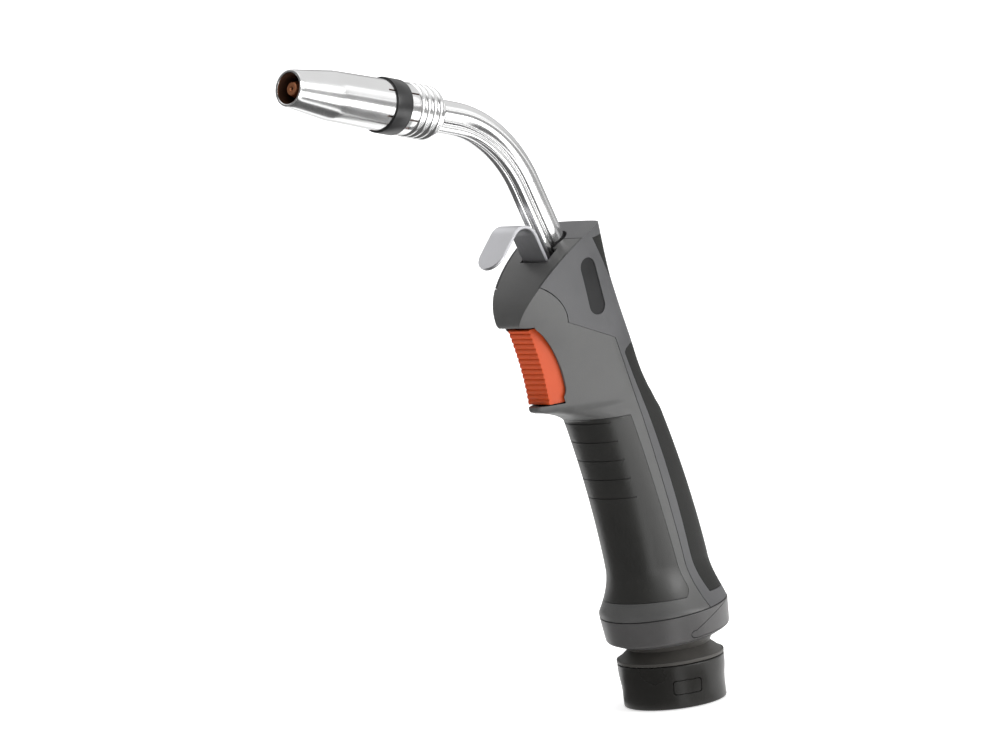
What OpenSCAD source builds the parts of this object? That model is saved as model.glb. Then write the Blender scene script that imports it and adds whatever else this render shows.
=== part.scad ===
// Water-cooled MIG welding torch with a swivelling handle and a bent neck.
// +X is forward (trigger and nozzle side), +Y is the torch's left side, +Z runs up the
// cable collar's axis. The origin is the centre of the cable inlet, at the collar's end face.

/* [Cable collar] */
// Height of the collar
collar_h = 18.4; // [17.6:0.2:24]
// Outer radius of the collar at its upper edge
collar_r = 22.8; // [22.2:0.1:24.5]
// Amount by which the collar's lower part is narrower
collar_step = 0.9; // [0.2:0.1:1.8]
// Radius of the cable sheath that the inlet takes
cable_r = 13; // [9:0.25:14]
// Length of the rubber bush in the inlet
bush_len = 7.5; // [5:0.25:8]
// Width of the collar's snap latch
latch_w = 12; // [8:0.5:14]
// Height of the collar's snap latch
latch_h = 5.6; // [4:0.2:7]

/* [Knuckle joint] */
// Radius of the ball
ball_r = 20; // [19.4:0.1:20.6]
// Height of the ball's centre above the knuckle's lower edge
ball_rise = 15.3; // [14.8:0.1:17.5]
// Thickness of the floating ball liner
liner_t = 1.14; // [0.8:0.02:1.4]
// Radius of the knuckle's swivel sleeve
sleeve_r = 15.5; // [14.5:0.1:16]
// Radius of the passage through the knuckle
passage_r = 12; // [9:0.25:12.5]

/* [Lock ring] */
// Radius of the lock ring at the handle
ring_r = 27.5; // [26.5:0.1:29]
// Height of the lock ring's side
ring_h = 11.3; // [10.6:0.1:12.5]
// Amount by which the ring narrows downwards
ring_taper = 1; // [0:0.1:2]

/* [Handle] */
// Length of the grip, from the lock ring to the finger lip
grip_len = 88; // [80:1:105]
// Depth of the grip, front to back
grip_depth = 43; // [40:0.5:46]
// Width of the grip
grip_width = 36.6; // [34:0.2:40]
// Lean of the handle's lower end
base_lean = 4.5; // [2:0.1:7]
// Lean of the handle's upper part
handle_lean = 18.8; // [16:0.2:21]
// Height of the finger lip under the trigger
lip_h = 8.2; // [7:0.1:10]
// Height of the hood above the trigger
hood_h = 38.4; // [37:0.2:43]
// Width of the head
head_width = 35.6; // [34:0.2:38]
// Wall of the shells
wall = 3.2; // [2.8:0.1:3.6]
// Thickness of the soft grip inlays
pad_t = 1.6; // [1:0.1:1.9]

/* [Trigger] */
// Height of the trigger
trigger_len = 33.4; // [30:0.2:38]
// Width of the trigger
trigger_w = 12.1; // [10:0.1:12.6]
// Reach of the trigger's face from the handle's axis
trigger_reach = 34; // [32.5:0.1:35.5]
// Gap round the trigger
trigger_gap = 0.45; // [0.35:0.05:0.6]
// Number of ribs on the trigger's face
rib_count = 15; // [9:1:18]
// Radius of the trigger's pin
pin_r = 1; // [0.8:0.05:1.2]

/* [Neck] */
// Outer radius of the main neck tube
neck_r = 4.9; // [4.5:0.05:5.3]
// Bore radius of the main neck tube
neck_bore_r = 3.3; // [3:0.05:3.6]
// Outer radius of each coolant tube
coolant_r = 2; // [1.8:0.05:2.2]
// Wall of each coolant tube
coolant_wall = 0.5; // [0.4:0.05:0.7]
// Lean of the neck where it leaves the head
neck_lean = 22.9; // [21:0.1:25]
// Bend of the neck
neck_bend = 52; // [45:1:60]
// Radius of the neck's bend
neck_bend_r = 57.6; // [50:0.2:70]
// Length of the neck's straight foot, inside and above the head
neck_straight = 54.8; // [50:0.2:64]

/* [Nozzle] */
// Length of the gas nozzle
nozzle_len = 63; // [58:0.5:70]
// Outer radius at the nozzle's mouth
mouth_r = 7.4; // [7.2:0.05:8.3]
// Bore radius at the nozzle's mouth
mouth_bore_r = 6.2; // [6:0.05:6.6]
// Length of the nozzle's front cone
cone_len = 22; // [18:0.5:26]
// Outer radius behind the cone
shoulder_r = 10; // [9.7:0.05:10.1]
// Outer radius at the nozzle's rear end
nozzle_rear_r = 10.8; // [10.6:0.05:11.2]
// Number of slots in the nozzle's rear end
slot_count = 6; // [4:1:12]
// Width of the insulating band
band_w = 8.5; // [6:0.1:10]
// Outer radius of the insulating band
band_r = 11.35; // [11.3:0.05:12.5]
// Radius of the contact tip
tip_r = 4; // [3.5:0.05:4.2]
// Length of the contact tip
tip_len = 28; // [25:0.5:32]
// Radius of the welding wire's bore
wire_r = 0.6; // [0.45:0.05:0.9]
// Number of ribs on the nozzle seat
seat_ribs = 4; // [3:1:5]
// Offset of the nozzle's axis from the main tube's, towards the coolant tubes
seat_shift = 1.8; // [0:0.1:2.2]

/* [Hanger hook] */
// Width of the hook's strip
hook_w = 13.8; // [10:0.2:14]
// Thickness of the hook's strip
hook_t = 1.5; // [1.2:0.1:1.8]
// Bend radius of the hook, at the middle of the strip
hook_bend_r = 7.8; // [6.5:0.1:8.5]
// Length of the hook's tongue
hook_tongue = 17.4; // [12:0.1:18]

/* [Hidden] */
$fn = 64;
slide_fit = 0.06;      // radial clearance of a running fit
free_gap = 0.3;        // gap between pieces that move past each other
snug = 0.05;           // gap round a piece that sits in the handle's cavity
far = 100;             // reach of a cutting block past the torch
sides = 32;            // points round one section of the handle

// ---- knuckle and lock ring, measured from the ball's centre ----
ball_z = collar_h + free_gap + ball_rise;
liner_in = ball_r + slide_fit;
liner_out = liner_in + liner_t;
socket_r = liner_out + slide_fit;
lip_in = ball_r + 0.4;
seam_s = 7.3;                          // handle's end plane
corner_s = seam_s - ring_h;            // lock ring's lower corner
lip_s = corner_s - 2.1;                // lock ring's lower lip
cup_r = socket_r + 2.1;                // outer radius of the ball cup
cup_low = 0.4;                         // cup's lower end, above the ball's centre
cup_top = 9.6;                         // cup's upper end
cup_chamfer = 2.4;                     // chamfer of the cup's upper edge
lip_t = 1;                             // thickness of the lip under the liner
ball_top = 9.5;                        // flat top of the ball
ball_steps = 24;                       // steps of the ball's outline
liner_low = -2.4;
liner_top = 7;
flare_r = 0.87 * ball_r;               // where the ball runs into the knuckle's flare
flare_s = -sqrt(ball_r * ball_r - flare_r * flare_r);
flare_edge = 1.8;                      // height of the flare's rim

// ---- collar ----
collar_low_r = collar_r - collar_step;
chamber_r = sleeve_r + 2;
clip_t = 1.5;
clip_z = bush_len + 1.6;               // underside of the snap ring
sleeve_low = clip_z - 1.2;             // lower end of the knuckle's sleeve
rim_r = collar_r + 0.1;                // rim of the knuckle's flare
shoulder_z = clip_z + clip_t + free_gap;
latch_angle = 59;
latch_z = 9;
latch_t = 1.8;
latch_travel = 1.1;

// ---- handle's axis and zones ----
slope_low = tan(base_lean);
slope_high = tan(handle_lean);
base_x = seam_s * sin(base_lean);
base_z = ball_z + seam_s * cos(base_lean);
bend_h = grip_len - 2;
z_lip = base_z + grip_len;
z_trig = z_lip + lip_h;
z_nose = z_trig + trigger_len;
z_top = z_nose + hood_h;
flare_len = 20;
grip_end = z_lip - 2.3;                // upper end of the grip's plain sections

// x of the handle's axis at height z: a parabola along the grip, straight above it
function axis_x(z) =
    let (h = z - base_z, g = min(h, bend_h))
    base_x + slope_low * g + (slope_high - slope_low) * g * g / (2 * bend_h)
    + slope_high * max(0, h - bend_h);
function lerp(a, b, t) = a + (b - a) * t;

// Extra radius of the bell at the grip's lower end
function bell(z, plain) = (ring_r - plain) * pow(1 - min(1, max(0, z - base_z) / flare_len), 1.8);
function grip_key(z) =
    let (a = grip_depth / 2 * lerp(1.045, 0.925, (z - base_z) / grip_len), b = grip_width / 2,
         round = pow(min(1, max(0, z - base_z) / flare_len), 0.7))
    [z, 0, a + round * lerp(1.2, -0.5, (z - base_z) / grip_len) + bell(z, a), a + bell(z, a),
     b + bell(z, b), 0, lerp(2, 2.85, round), lerp(2, 2.3, round)];

// Sections of the head, one row each: height, middle's offset from the axis, depth behind
// it, depth before it, half width, taper towards the front, back and front corner exponents
hw = head_width / 2;
head_keys = [
    [z_lip + 1.6, 0, 18.5, 27, hw + 0.4, 0.45, 2.8, 3.5],
    [z_lip + 0.5 * lip_h, 0.1, 18.2, 34.5, hw + 0.3, 0.72, 2.8, 6],
    [z_lip + 0.7 * lip_h, 0.2, 18, 41.5, hw + 0.3, 0.8, 2.8, 8],
    [z_trig, 0.5, 17.7, 41.5, hw + 0.2, 0.79, 2.8, 8],
    [z_trig + 0.25 * trigger_len, 0.8, 17.3, 39.3, hw + 0.1, 0.775, 2.8, 8],
    [z_trig + 0.65 * trigger_len, 0.3, 17.5, 39.5, hw, 0.8, 2.9, 8],
    [z_nose, -0.5, 17.2, 42.5, hw - 0.1, 0.72, 2.9, 8],
    [z_nose + 0.11 * hood_h, -0.9, 17.1, 45.5, hw - 0.2, 0.71, 2.9, 8],
    [z_nose + 0.46 * hood_h, -1.7, 17.3, 46, hw - 0.4, 0.53, 3.1, 8],
    [z_top + 3, -6.9, 17.2, 42, hw - 0.9, 0.4, 3.2, 8]
];
keys = concat([grip_key(z_lip - 6), grip_key(grip_end)], head_keys);

// Smooth interpolation between the rows of keys, column by column
function row_of(z, i = 0) = i >= len(keys) - 2 || z < keys[i + 1][0] ? i : row_of(z, i + 1);
function slope_at(i, c) =
    let (a = max(0, i - 1), b = min(len(keys) - 1, i + 1))
    (keys[b][c] - keys[a][c]) / (keys[b][0] - keys[a][0]);
function key_value(z, c) =
    let (i = row_of(z), d = keys[i + 1][0] - keys[i][0], t = (z - keys[i][0]) / d)
    (2 * t * t * t - 3 * t * t + 1) * keys[i][c] + (t * t * t - 2 * t * t + t) * d * slope_at(i, c)
    + (3 * t * t - 2 * t * t * t) * keys[i + 1][c] + (t * t * t - t * t) * d * slope_at(i + 1, c);
function key_at(z) = z <= grip_end ? grip_key(z) : [for (c = [0:7]) c == 0 ? z : key_value(z, c)];

// One horizontal section of the handle, drawn in by inset
function section(z, inset) =
    let (k = key_at(z), mid = axis_x(z) + k[1])
    [for (i = [0:sides - 1])
        let (t = 360 * i / sides, c = cos(t), s = sin(t), n = c > 0 ? k[7] : k[6],
             m = pow(pow(abs(c), n) + pow(abs(s), n), -1 / n), u = c * m,
             taper = 1 - k[5] * pow(max(0, u), 1.4),
             inner = max(0.08, (k[4] * taper - inset) / (k[4] - inset)))
        [mid + ((c > 0 ? k[3] : k[2]) - inset) * u, (k[4] - inset) * s * m * inner, z]];

grip_levels = concat(
    [for (f = [-0.25, 0, 0.15, 0.3, 0.48, 0.72, 1]) base_z + f * flare_len],
    [for (i = [1:7]) lerp(base_z + flare_len, grip_end, i / 7)]);
lip_levels = [for (f = [0, 0.19, 0.34, 0.5, 0.7, 0.86]) z_lip + f * lip_h];
trigger_levels = [for (f = [0, 0.13, 0.27, 0.45, 0.65, 0.84, 1]) z_trig + f * trigger_len];
hood_levels = [for (f = [0.11, 0.22, 0.34, 0.46, 0.6, 0.74, 0.88, 1.02]) z_nose + f * hood_h];
levels = concat(grip_levels, lip_levels, trigger_levels, hood_levels);
lip_i = len(grip_levels);
trigger_i = lip_i + len(lip_levels);
hood_i = trigger_i + len(trigger_levels);
last_i = len(levels) - 1;

// ---- side outlines, as points [x, z] ----
// Trigger's face, from its toe at t = 0 to its top at t = 1
toe = 4.3;
function trigger_z(t) = z_trig + t * trigger_len;
function face_x(t) = axis_x(trigger_z(t)) + trigger_reach + toe * pow(1 - t, 2.2);
hood_gap = 0.4;                // gap between the trigger and the hood above it
// Depth of the side cut-out that shows the trigger
window_depth = 8.2;
function window_x(t) = face_x(t) - window_depth * (t < 0.2
    ? sqrt(max(0, 1 - pow((0.2 - t) / 0.2, 2)))
    : pow(max(0, 1 - pow((t - 0.2) / 0.8, 2.4)), 0.6));
window_steps = [0, 0.02, 0.06, 0.12, 0.2, 0.35, 0.5, 0.64, 0.76, 0.86, 0.94, 0.985, 1];
window_line = concat([[far, z_trig]], [for (t = window_steps) [window_x(t), trigger_z(t)]],
                     [[far, z_nose + hood_gap]]);

function bezier(a, b, c, d, t) =
    pow(1 - t, 3) * a + 3 * t * pow(1 - t, 2) * b + 3 * t * t * (1 - t) * c + pow(t, 3) * d;
crest = [axis_x(z_top) - 18.4, z_top];                  // hood's rear upper corner
nose = [axis_x(z_nose) + 39.3, z_nose + 2.4];           // hood's foremost point
hood_line = [for (i = [0:12])
    bezier(nose, nose + [-0.4, 0.34 * hood_h], crest + [17, -5.3], crest, i / 12)];
side_outline = concat(
    [[-far, -far], [far, -far], [far, z_nose + hood_gap], [face_x(1) + 0.6, z_nose + hood_gap],
     nose + [-2, -1.6], nose + [-0.5, -0.9]],
    hood_line, [[-far, z_top]]);

pin_x = face_x(1) - 8;
pin_z = z_nose - 3.5;
pin_len = 19;
trigger_body = 9;              // depth of the trigger's body behind its face
trigger_skin = 2.4;            // thickness of the face in front of the trigger's hollow
hollow_depth = 7;              // depth of the hollow's rear side behind the face
boss_r = 2.2;                  // radius of the trigger's boss round the pin
rib_groove_r = 0.75;           // radius of the grooves between the ribs
slot_depth = 14.6;             // depth of the slot that the pressed trigger needs
face_lean = atan((face_x(1) - face_x(0.2)) / (0.8 * trigger_len));
flare_w = 2.1;                 // amount by which each side of the trigger spreads behind its face
flare_from = 1.6;              // depth behind the face at which the sides start to spread
flare_to = 8;                  // depth at which they run parallel again

// Seam between the shells
seam_top = z_nose - 0.3 * trigger_len;
seam_run = 10;                 // length by which the seam's cut runs past the handle's base
seam_bow = 1.8;                // forward bow of the seam along the grip
function seam_x(z) = let (t = (z - base_z) / (seam_top - base_z))
    axis_x(z) + lerp(0.5, -1.2, t) + seam_bow * pow(max(0, sin(180 * t)), 1.5);
seam_line = concat(
    [for (i = [0:10]) let (z = lerp(base_z - seam_run, seam_top, i / 10)) [seam_x(z), z]],
    [for (a = [0:15:75]) [axis_x(z_nose) + 33.4 - 15.5 * pow(cos(a), 1.6), z_nose + 17.3 * sin(a)]],
    [[far, z_nose + 17.3], [far, base_z - seam_run]]);

// Soft inlays
pad_margin = 5.5;               // height of the inlays' lower ends above the handle's base
front_pad_low = base_z + pad_margin;
front_pad_top = z_lip - 1.5;
function front_edge(z) = let (t = (z - base_z) / grip_len)
    axis_x(z) + lerp(3.9, 6.2, t) + 1.2 * sin(180 * t)
    + 4 * pow(max(0, 1 - (z - front_pad_low) / 5), 2);
front_pad_line = concat([for (f = [0, 0.02, 0.05, 0.15, 0.3, 0.5, 0.7, 0.85, 1])
        let (z = lerp(front_pad_low, front_pad_top, f)) [front_edge(z), z]],
    [[far, front_pad_top + 2], [far, front_pad_low]]);
rear_pad_low = base_z + pad_margin;
rear_pad_top = z_trig + 0.58 * trigger_len;
function rear_edge(z) = axis_x(z) - 3.4 - 2 * pow(max(0, 1 - (z - rear_pad_low) / 20), 1.5)
    - 6 * pow(max(0, 1 - (rear_pad_top - z) / 3.5), 2);
rear_pad_line = concat([for (f = [0, 0.04, 0.1, 0.18, 0.35, 0.55, 0.75, 0.9, 0.97, 0.985, 1])
        let (z = lerp(rear_pad_low, rear_pad_top, f)) [rear_edge(z), z]],
    [[-far, rear_pad_top], [-far, rear_pad_low]]);
head_pad_low = 31;              // depth of the head pad's lower end below the crest
head_pad_top = 5.2;             // depth of its upper end
head_pad_line = [crest + [6.4, -head_pad_top - 0.5], crest + [2.2, -14.3], crest + [-1.8, -22.3],
                 crest + [-8, -28.8], crest + [-16, -head_pad_low], [-far, z_top - head_pad_low],
                 [-far, z_top - head_pad_top], crest + [0, -head_pad_top]];

badge_len = 24.5;
badge_w = 8.5;
badge_lean = 10;
badge_z = z_nose + 13;
badge_sink = 0.35;
badge_t = 0.9;

// ---- neck, measured along its axis from its foot in the head ----
foot_z = z_nose + 8.5;
foot_x = axis_x(foot_z) - 6.6;
coolant_y = 2.1;
braze_len = 1;
braze_t = 0.05;
coolant_off = sqrt(pow(neck_r + coolant_r + 3 * braze_t, 2) - coolant_y * coolant_y);
block_h = 12.5;
block_back = 6.5;
block_front = 10.5;
block_half = 8;
liner_shift = 1.1;             // the liner lies on the inner side of the tube's bend
tube_seat = 8;                 // depth to which the tubes enter the block
clamp_low = 13;
clamp_h = 6;
hook_off = 13.6;               // hook's leg in front of the neck's axis
hook_leg_low = 9;
hook_leg_top = 36.4;
hook_turn = 112;
stud_lean = 10.6;
stud_r = 4.8;
stud_len = 24;
stud_grip = 3;                 // depth to which stud and barbs enter the block
barb_x = 5;
barb_y = 5.2;
barb_r = 1.7;
barb_len = 15;

// ---- nozzle, measured forward from the end of the bend ----
nozzle_reach = 91.3;           // from the end of the bend to the nozzle's mouth
nozzle_back = nozzle_reach - nozzle_len;
seat_len = 17.5;               // length of the seat behind the nozzle
seat_back = nozzle_back - seat_len;
seat_tail_r = 7.4;             // radius of the seat's rear end
seat_cone = 3.8;               // length of the cone from there to the ribs
ribs_back = seat_back + seat_cone;
tube_in_seat = 16;             // depth to which the main tube enters the seat
coolant_in_seat = 11;
gas_bore_r = 3.2;
flange_front = nozzle_back - free_gap;
rib_pitch = (flange_front - ribs_back) / seat_ribs;
seat_r = 10.3;
rib_r = 11;
core_r = shoulder_r - 0.4;
nozzle_bore_r = core_r + 0.08;
core_len = 18.5;               // length of the seat's core inside the nozzle
core_front = nozzle_back + core_len;
groove_w = 1.4;                // grooves of the core's silicone rings
ring_zs = [nozzle_back + 4, core_front - 4];
slot_w = 0.8;
band_front = nozzle_back + 13.4;
slot_len = 17;                 // length of the slots in the nozzle's rear end
band_seat_r = nozzle_rear_r - 0.55;
holder_r = 4.9;
holder_flange_r = 5.6;
holder_nose_r = 4.6;
holder_nose = 6;               // length of the holder's narrower front
holder_back = core_front - 8;
holder_front = holder_back + 20;
tip_shank_r = 3;
tip_front = nozzle_reach - 1.8;
tip_back = tip_front - tip_len;
diffuser_front = holder_front - 2;

// ---- screws ----
screw_y = 10.8;
screw_zs = [base_z + 32, base_z + 72];
post_r = 3;
screw_r = 1.5;
screw_head_r = 2.7;
screw_reach = 6;                       // length of the screw's end in the front shell
screw_sink = 10;                       // depth of the screw head behind the seam

// ---- switch, behind the trigger ----
switch_set = 15.3;                     // depth of the switch behind the trigger's face
switch_front = face_x(0.4) - switch_set;
switch_low = z_trig + 5.5;
switch_h = 19;
switch_d = 10;
switch_w = 6.4;
carrier_back = switch_front - switch_d - 2;
carrier_rim = 1.5;                     // carrier's wall above and below the switch
lever_x = switch_front + 1.9;
lever_z = switch_low + 0.6;
lever_len = 10.6;
lever_t = 0.5;
plunger_z = switch_low + 5;
plunger_in = 1.4;                      // length of the plunger inside the switch
nub_z = switch_low + 9.4;
nub_x = lever_x + lever_t + free_gap;
spring_z = z_trig + 3.2;
spring_r = 1.6;
spring_wire = 0.35;
spring_pocket_r = spring_r + spring_wire + 0.35;
spring_turns = 6;
spring_seat = face_x(0.1) - 17.5;

// ---- general shapes ----

// A closed skin through rings of points, listed from the bottom up, each counter-clockwise from above
module loft(rings) {
    n = len(rings[0]);
    top = len(rings) - 1;
    function middle(r) = [for (c = [0:2]) (r[0][c] + r[n / 2][c]) / 2];
    points = concat([for (r = rings) for (p = r) p], [middle(rings[0]), middle(rings[top])]);
    low_hub = n * (top + 1);
    polyhedron(points, concat(
        [for (i = [0:top - 1]) for (j = [0:n - 1]) let (k = (j + 1) % n)
            each [[i * n + j, (i + 1) * n + j, (i + 1) * n + k],
                  [i * n + j, (i + 1) * n + k, i * n + k]]],
        [for (j = [0:n - 1]) [low_hub, j, (j + 1) % n]],
        [for (j = [0:n - 1]) [low_hub + 1, top * n + (j + 1) % n, top * n + j]]));
}

// A wire swept along points, each section square to the path
function unit(v) = v / norm(v);
function along(p, i) = unit(p[min(len(p) - 1, i + 1)] - p[max(0, i - 1)]);
module wire(path, r, up, n = 6) {
    loft([for (i = [0:len(path) - 1])
        let (t = along(path, i), a = unit(cross(up, t)), b = cross(t, a))
        [for (j = [0:n - 1]) path[i] + r * (cos(360 * j / n) * a + sin(360 * j / n) * b)]]);
}

// The handle's outer form between two levels, drawn in by inset
module form(inset = 0, from = 0, to = last_i)
    loft([for (i = [from:to]) section(levels[i], inset)]);

// An outline in the XZ plane, as thick as 2 * half along Y
module plate(points, half = far)
    rotate([90, 0, 0]) linear_extrude(2 * half, center = true) polygon(points);

module ring_of(outer, inner, h) difference() {
    cylinder(r = outer, h = h);
    translate([0, 0, -1]) cylinder(r = inner, h = h + 2);
}

module at_ball(lean = base_lean) translate([0, 0, ball_z]) rotate([0, lean, 0]) children();
module at_foot() translate([foot_x, 0, foot_z]) rotate([0, neck_lean, 0]) children();
module at_bend() at_foot() translate([0, 0, neck_straight]) children();
module at_mouth() at_bend() translate([neck_bend_r, 0, 0]) rotate([0, neck_bend, 0])
    translate([-neck_bend_r, 0, 0]) children();
module at_stud() at_foot() translate([0, 0, -block_h]) rotate([0, stud_lean - neck_lean, 0]) children();
module at_nozzle() at_mouth() translate([seat_shift, 0, 0]) children();
module pair() for (side = [-1, 1]) translate([0, side, 0] * barb_y) children();

// ---- collar and knuckle ----

module cable_collar() color("#2a2a28") difference() {
    rotate_extrude() difference() {
        polygon([[0, 0], [collar_low_r - 0.6, 0], [collar_low_r, 0.6], [collar_low_r, 0.47 * collar_h],
                 [collar_r, 0.75 * collar_h], [collar_r, collar_h - 0.5], [collar_r - 0.5, collar_h],
                 [0, collar_h]]);
        polygon([[-1, -1], [chamber_r, -1], [chamber_r, shoulder_z], [sleeve_r + slide_fit, shoulder_z],
                 [sleeve_r + slide_fit, collar_h + 1], [-1, collar_h + 1]]);
    }
    latch_block(latch_w + 2 * free_gap, latch_h + 2 * free_gap,
                collar_low_r - latch_t - latch_travel - 0.2, far);
}

// The part of a ring between two radii that the latch's window frames
module latch_block(w, h, inner, outer) rotate([0, 0, latch_angle]) intersection() {
    translate([inner / 2, -w / 2, latch_z - h / 2]) cube([outer, w, h]);
    ring_of(outer, inner, far);
}

module collar_latch() color("#30302e")
    latch_block(latch_w, latch_h, collar_low_r - latch_t, collar_low_r);

module cable_bush() color("#1c1c1c") ring_of(chamber_r - snug, cable_r, bush_len);

module knuckle_ball() color("#555552") at_ball(0) difference() {
    rotate_extrude() polygon(concat(
        [[passage_r, sleeve_low - ball_z], [sleeve_r, sleeve_low - ball_z], [sleeve_r, -ball_rise],
         [rim_r, -ball_rise], [rim_r, flare_edge - ball_rise]],
        [for (i = [0:ball_steps])
            let (a = lerp(asin(flare_s / ball_r), asin(ball_top / ball_r), i / ball_steps))
            ball_r * [cos(a), sin(a)]],
        [[passage_r, ball_top]]));
    translate([0, 0, clip_z - ball_z]) ring_of(far, sleeve_r - 1, clip_t);
}

module swivel_clip() color("silver") translate([0, 0, clip_z + snug]) difference() {
    ring_of(chamber_r - 0.5, sleeve_r - 1 + snug, clip_t - 2 * snug);
    translate([0, -2, -1]) cube([far, 4, far]);
}

module ball_liner() color("#e6e2d8") at_ball() rotate_extrude() intersection() {
    difference() {
        circle(r = liner_out);
        circle(r = liner_in);
    }
    translate([0, liner_low]) square([far, liner_top - liner_low]);
}

module ball_cup() color("#3a3a38") at_ball() rotate_extrude() difference() {
    polygon([[0, cup_low], [cup_r, cup_low], [cup_r, cup_top - cup_chamfer],
             [cup_r - cup_chamfer, cup_top], [0, cup_top]]);
    circle(r = socket_r);
    translate([-1, liner_top + 1]) square([socket_r * 0.86 + 1, far]);
    translate([-far, -far]) square([far, 2 * far]);
}

// The whole lower ring, of which the rear tail is a separate piece
module ring_blank() at_ball() rotate_extrude() difference() {
    polygon([[0, lip_s], [lip_in + 1.8, lip_s], [ring_r - ring_taper - 0.6, corner_s - 0.4],
             [ring_r - ring_taper, corner_s + 0.4], [ring_r, seam_s - free_gap],
             [0, seam_s - free_gap]]);
    circle(r = lip_in);
    intersection() {
        circle(r = socket_r);
        translate([0, lip_s + lip_t]) square([far, far]);
    }
    translate([-1, cup_low]) square([cup_r + snug + 1, far]);
    translate([-far, -far]) square([far, 2 * far]);
}

// Side outline of the tail: a tongue that rises rearwards to the ring's upper edge
function tail_outline(gap) = [
    [-far, seam_s + 5], [-0.74 * ring_r, seam_s + 5], [-0.57 * ring_r, seam_s - gap],
    [0.16 * ring_r, seam_s - 0.37 * ring_h - gap], [0.35 * ring_r, seam_s - 0.7 * ring_h - gap],
    [0.41 * ring_r - gap, corner_s + 0.16 * ring_h], [0.39 * ring_r - gap, corner_s + 0.4 + gap],
    [-far, corner_s + 0.4 + gap]];

module lock_ring() color("#5c5a5a") difference() {
    ring_blank();
    at_ball() plate(tail_outline(0));
}

module ring_tail() color("#605e5e") intersection() {
    ring_blank();
    at_ball() plate(tail_outline(0.15));
}

// ---- handle ----

module below_seam() at_ball() translate([-far, -far, seam_s - far]) cube([2 * far, 2 * far, far]);

module inlay_cut(line, from, to) difference() {
    plate(line);
    form(pad_t, from, to);
}

module inlay(line, from, to) difference() {
    intersection() {
        form(0, from, to);
        plate(line);
    }
    form(pad_t, from, to);
}

module badge_outline(grow = 0) translate([axis_x(badge_z), 0, badge_z]) rotate([0, badge_lean, 0])
    rotate([90, 0, 0]) linear_extrude(2 * far, center = true) {
        for (side = [-1, 1]) translate([0, side * (badge_len - badge_w) / 2])
            circle(r = badge_w / 2 + grow);
        square([badge_w + 2 * grow, badge_len - badge_w], center = true);
    }

// The neck's way out of the hood: round the tubes, and a slot for the hook's leg
module neck_opening() at_foot() {
    cylinder(r = neck_r + 1.3, h = far);
    translate([0, -coolant_y - coolant_r - 1.1, 0]) cube([coolant_off + coolant_r + 1.2,
        2 * (coolant_y + coolant_r + 1.1), far]);
    translate([coolant_off, -hook_w / 2 - 0.7, 0])
        cube([hook_off - coolant_off + hook_t / 2 + 1, hook_w + 1.4, far]);
}

module cavity() intersection() {
    form(wall);
    translate([-0.55 * wall, 0, -0.9 * wall]) plate(side_outline);
}

// What the front shell takes of the handle: all before the seam, and the hood's front up to the neck
panel_rim = 0.8;               // rim of the rear shell beside the hood's front
panel_lap = 0.4;               // depth to which the front panel laps under the rear shell's rim
module front_part() {
    plate(seam_line);
    difference() {
        intersection() {
            form(panel_rim, hood_i + 2, last_i);
            at_foot() translate([0, -far, -far]) cube(2 * far);
        }
        translate([-0.55 * wall - panel_lap, 0, -0.9 * wall - panel_lap]) plate(side_outline);
    }
}

module shell_solid() difference() {
    intersection() {
        form(0);
        plate(side_outline);
    }
    below_seam();
    neck_opening();
}

// Two posts at height z, one on each side, that start before the seam and run away from it
module post(z, to_rear, r) for (side = [-1, 1])
    translate([seam_x(z) + (to_rear ? 1 : -1), side * screw_y, z])
        rotate([0, to_rear ? -90 : 90, 0]) cylinder(r = r, h = far);

module front_shell() color("#646467") difference() {
    union() {
        difference() {
            shell_solid();
            cavity();
        }
        intersection() {
            for (z = screw_zs) post(z, false, post_r);
            form(wall / 2, 3, lip_i);
        }
    }
    difference() {
        translate([-far, -far, -far]) cube([2 * far, 2 * far, 4 * far]);
        front_part();
    }
    for (z = screw_zs) intersection() {
        post(z, false, screw_r);
        translate([seam_x(z) - far, -far, 0]) cube([far + screw_reach + 1, 2 * far, 4 * far]);
    }
    inlay_cut(front_pad_line, 1, lip_i + 1);
    plate(window_line);
    intersection() {
        plate([[face_x(0.5) - slot_depth, z_trig], [far, z_trig], [far, z_nose + hood_gap],
               [pin_x - 3, z_nose + hood_gap], [face_x(0.5) - slot_depth, z_nose - 8]]);
        between_sides(trigger_gap);
    }
    translate([pin_x, 0, pin_z]) rotate([90, 0, 0]) cylinder(r = pin_r, h = pin_len, center = true);
}

module rear_shell() color("#68686b") difference() {
    union() {
        difference() {
            shell_solid();
            cavity();
        }
        intersection() {
            for (z = screw_zs) post(z, true, post_r);
            form(wall / 2, 3, lip_i);
        }
    }
    front_part();
    for (z = screw_zs) {
        post(z, true, screw_r);
        translate([-screw_sink, 0, 0]) post(z, true, screw_head_r);
    }
    inlay_cut(rear_pad_line, 1, trigger_i + 5);
    inlay_cut(head_pad_line, hood_i - 1, last_i);
    difference() {
        badge_outline();
        form(badge_sink + badge_t, hood_i - 3, hood_i + 6);
    }
    block_body(snug);
}

module front_grip() color("#31312f") difference() {
    inlay(front_pad_line, 1, lip_i + 1);
    for (i = [1:5]) translate([axis_x(z_lip - 8 * i) + grip_depth / 2 + 1.5, 0, z_lip - 8 * i - 4])
        rotate([90, 0, 0]) cylinder(r = 1.9, h = far, center = true);
}

module rear_grip() color("#343432") inlay(rear_pad_line, 1, trigger_i + 5);
module head_pad() color("#343432") intersection() {
    inlay(head_pad_line, hood_i - 1, last_i);
    plate(side_outline);
}

module badge_plates() color("#2c2c2e") difference() {
    intersection() {
        form(badge_sink, hood_i - 3, hood_i + 6);
        badge_outline(-0.1);
    }
    form(badge_sink + badge_t, hood_i - 3, hood_i + 6);
}

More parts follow.
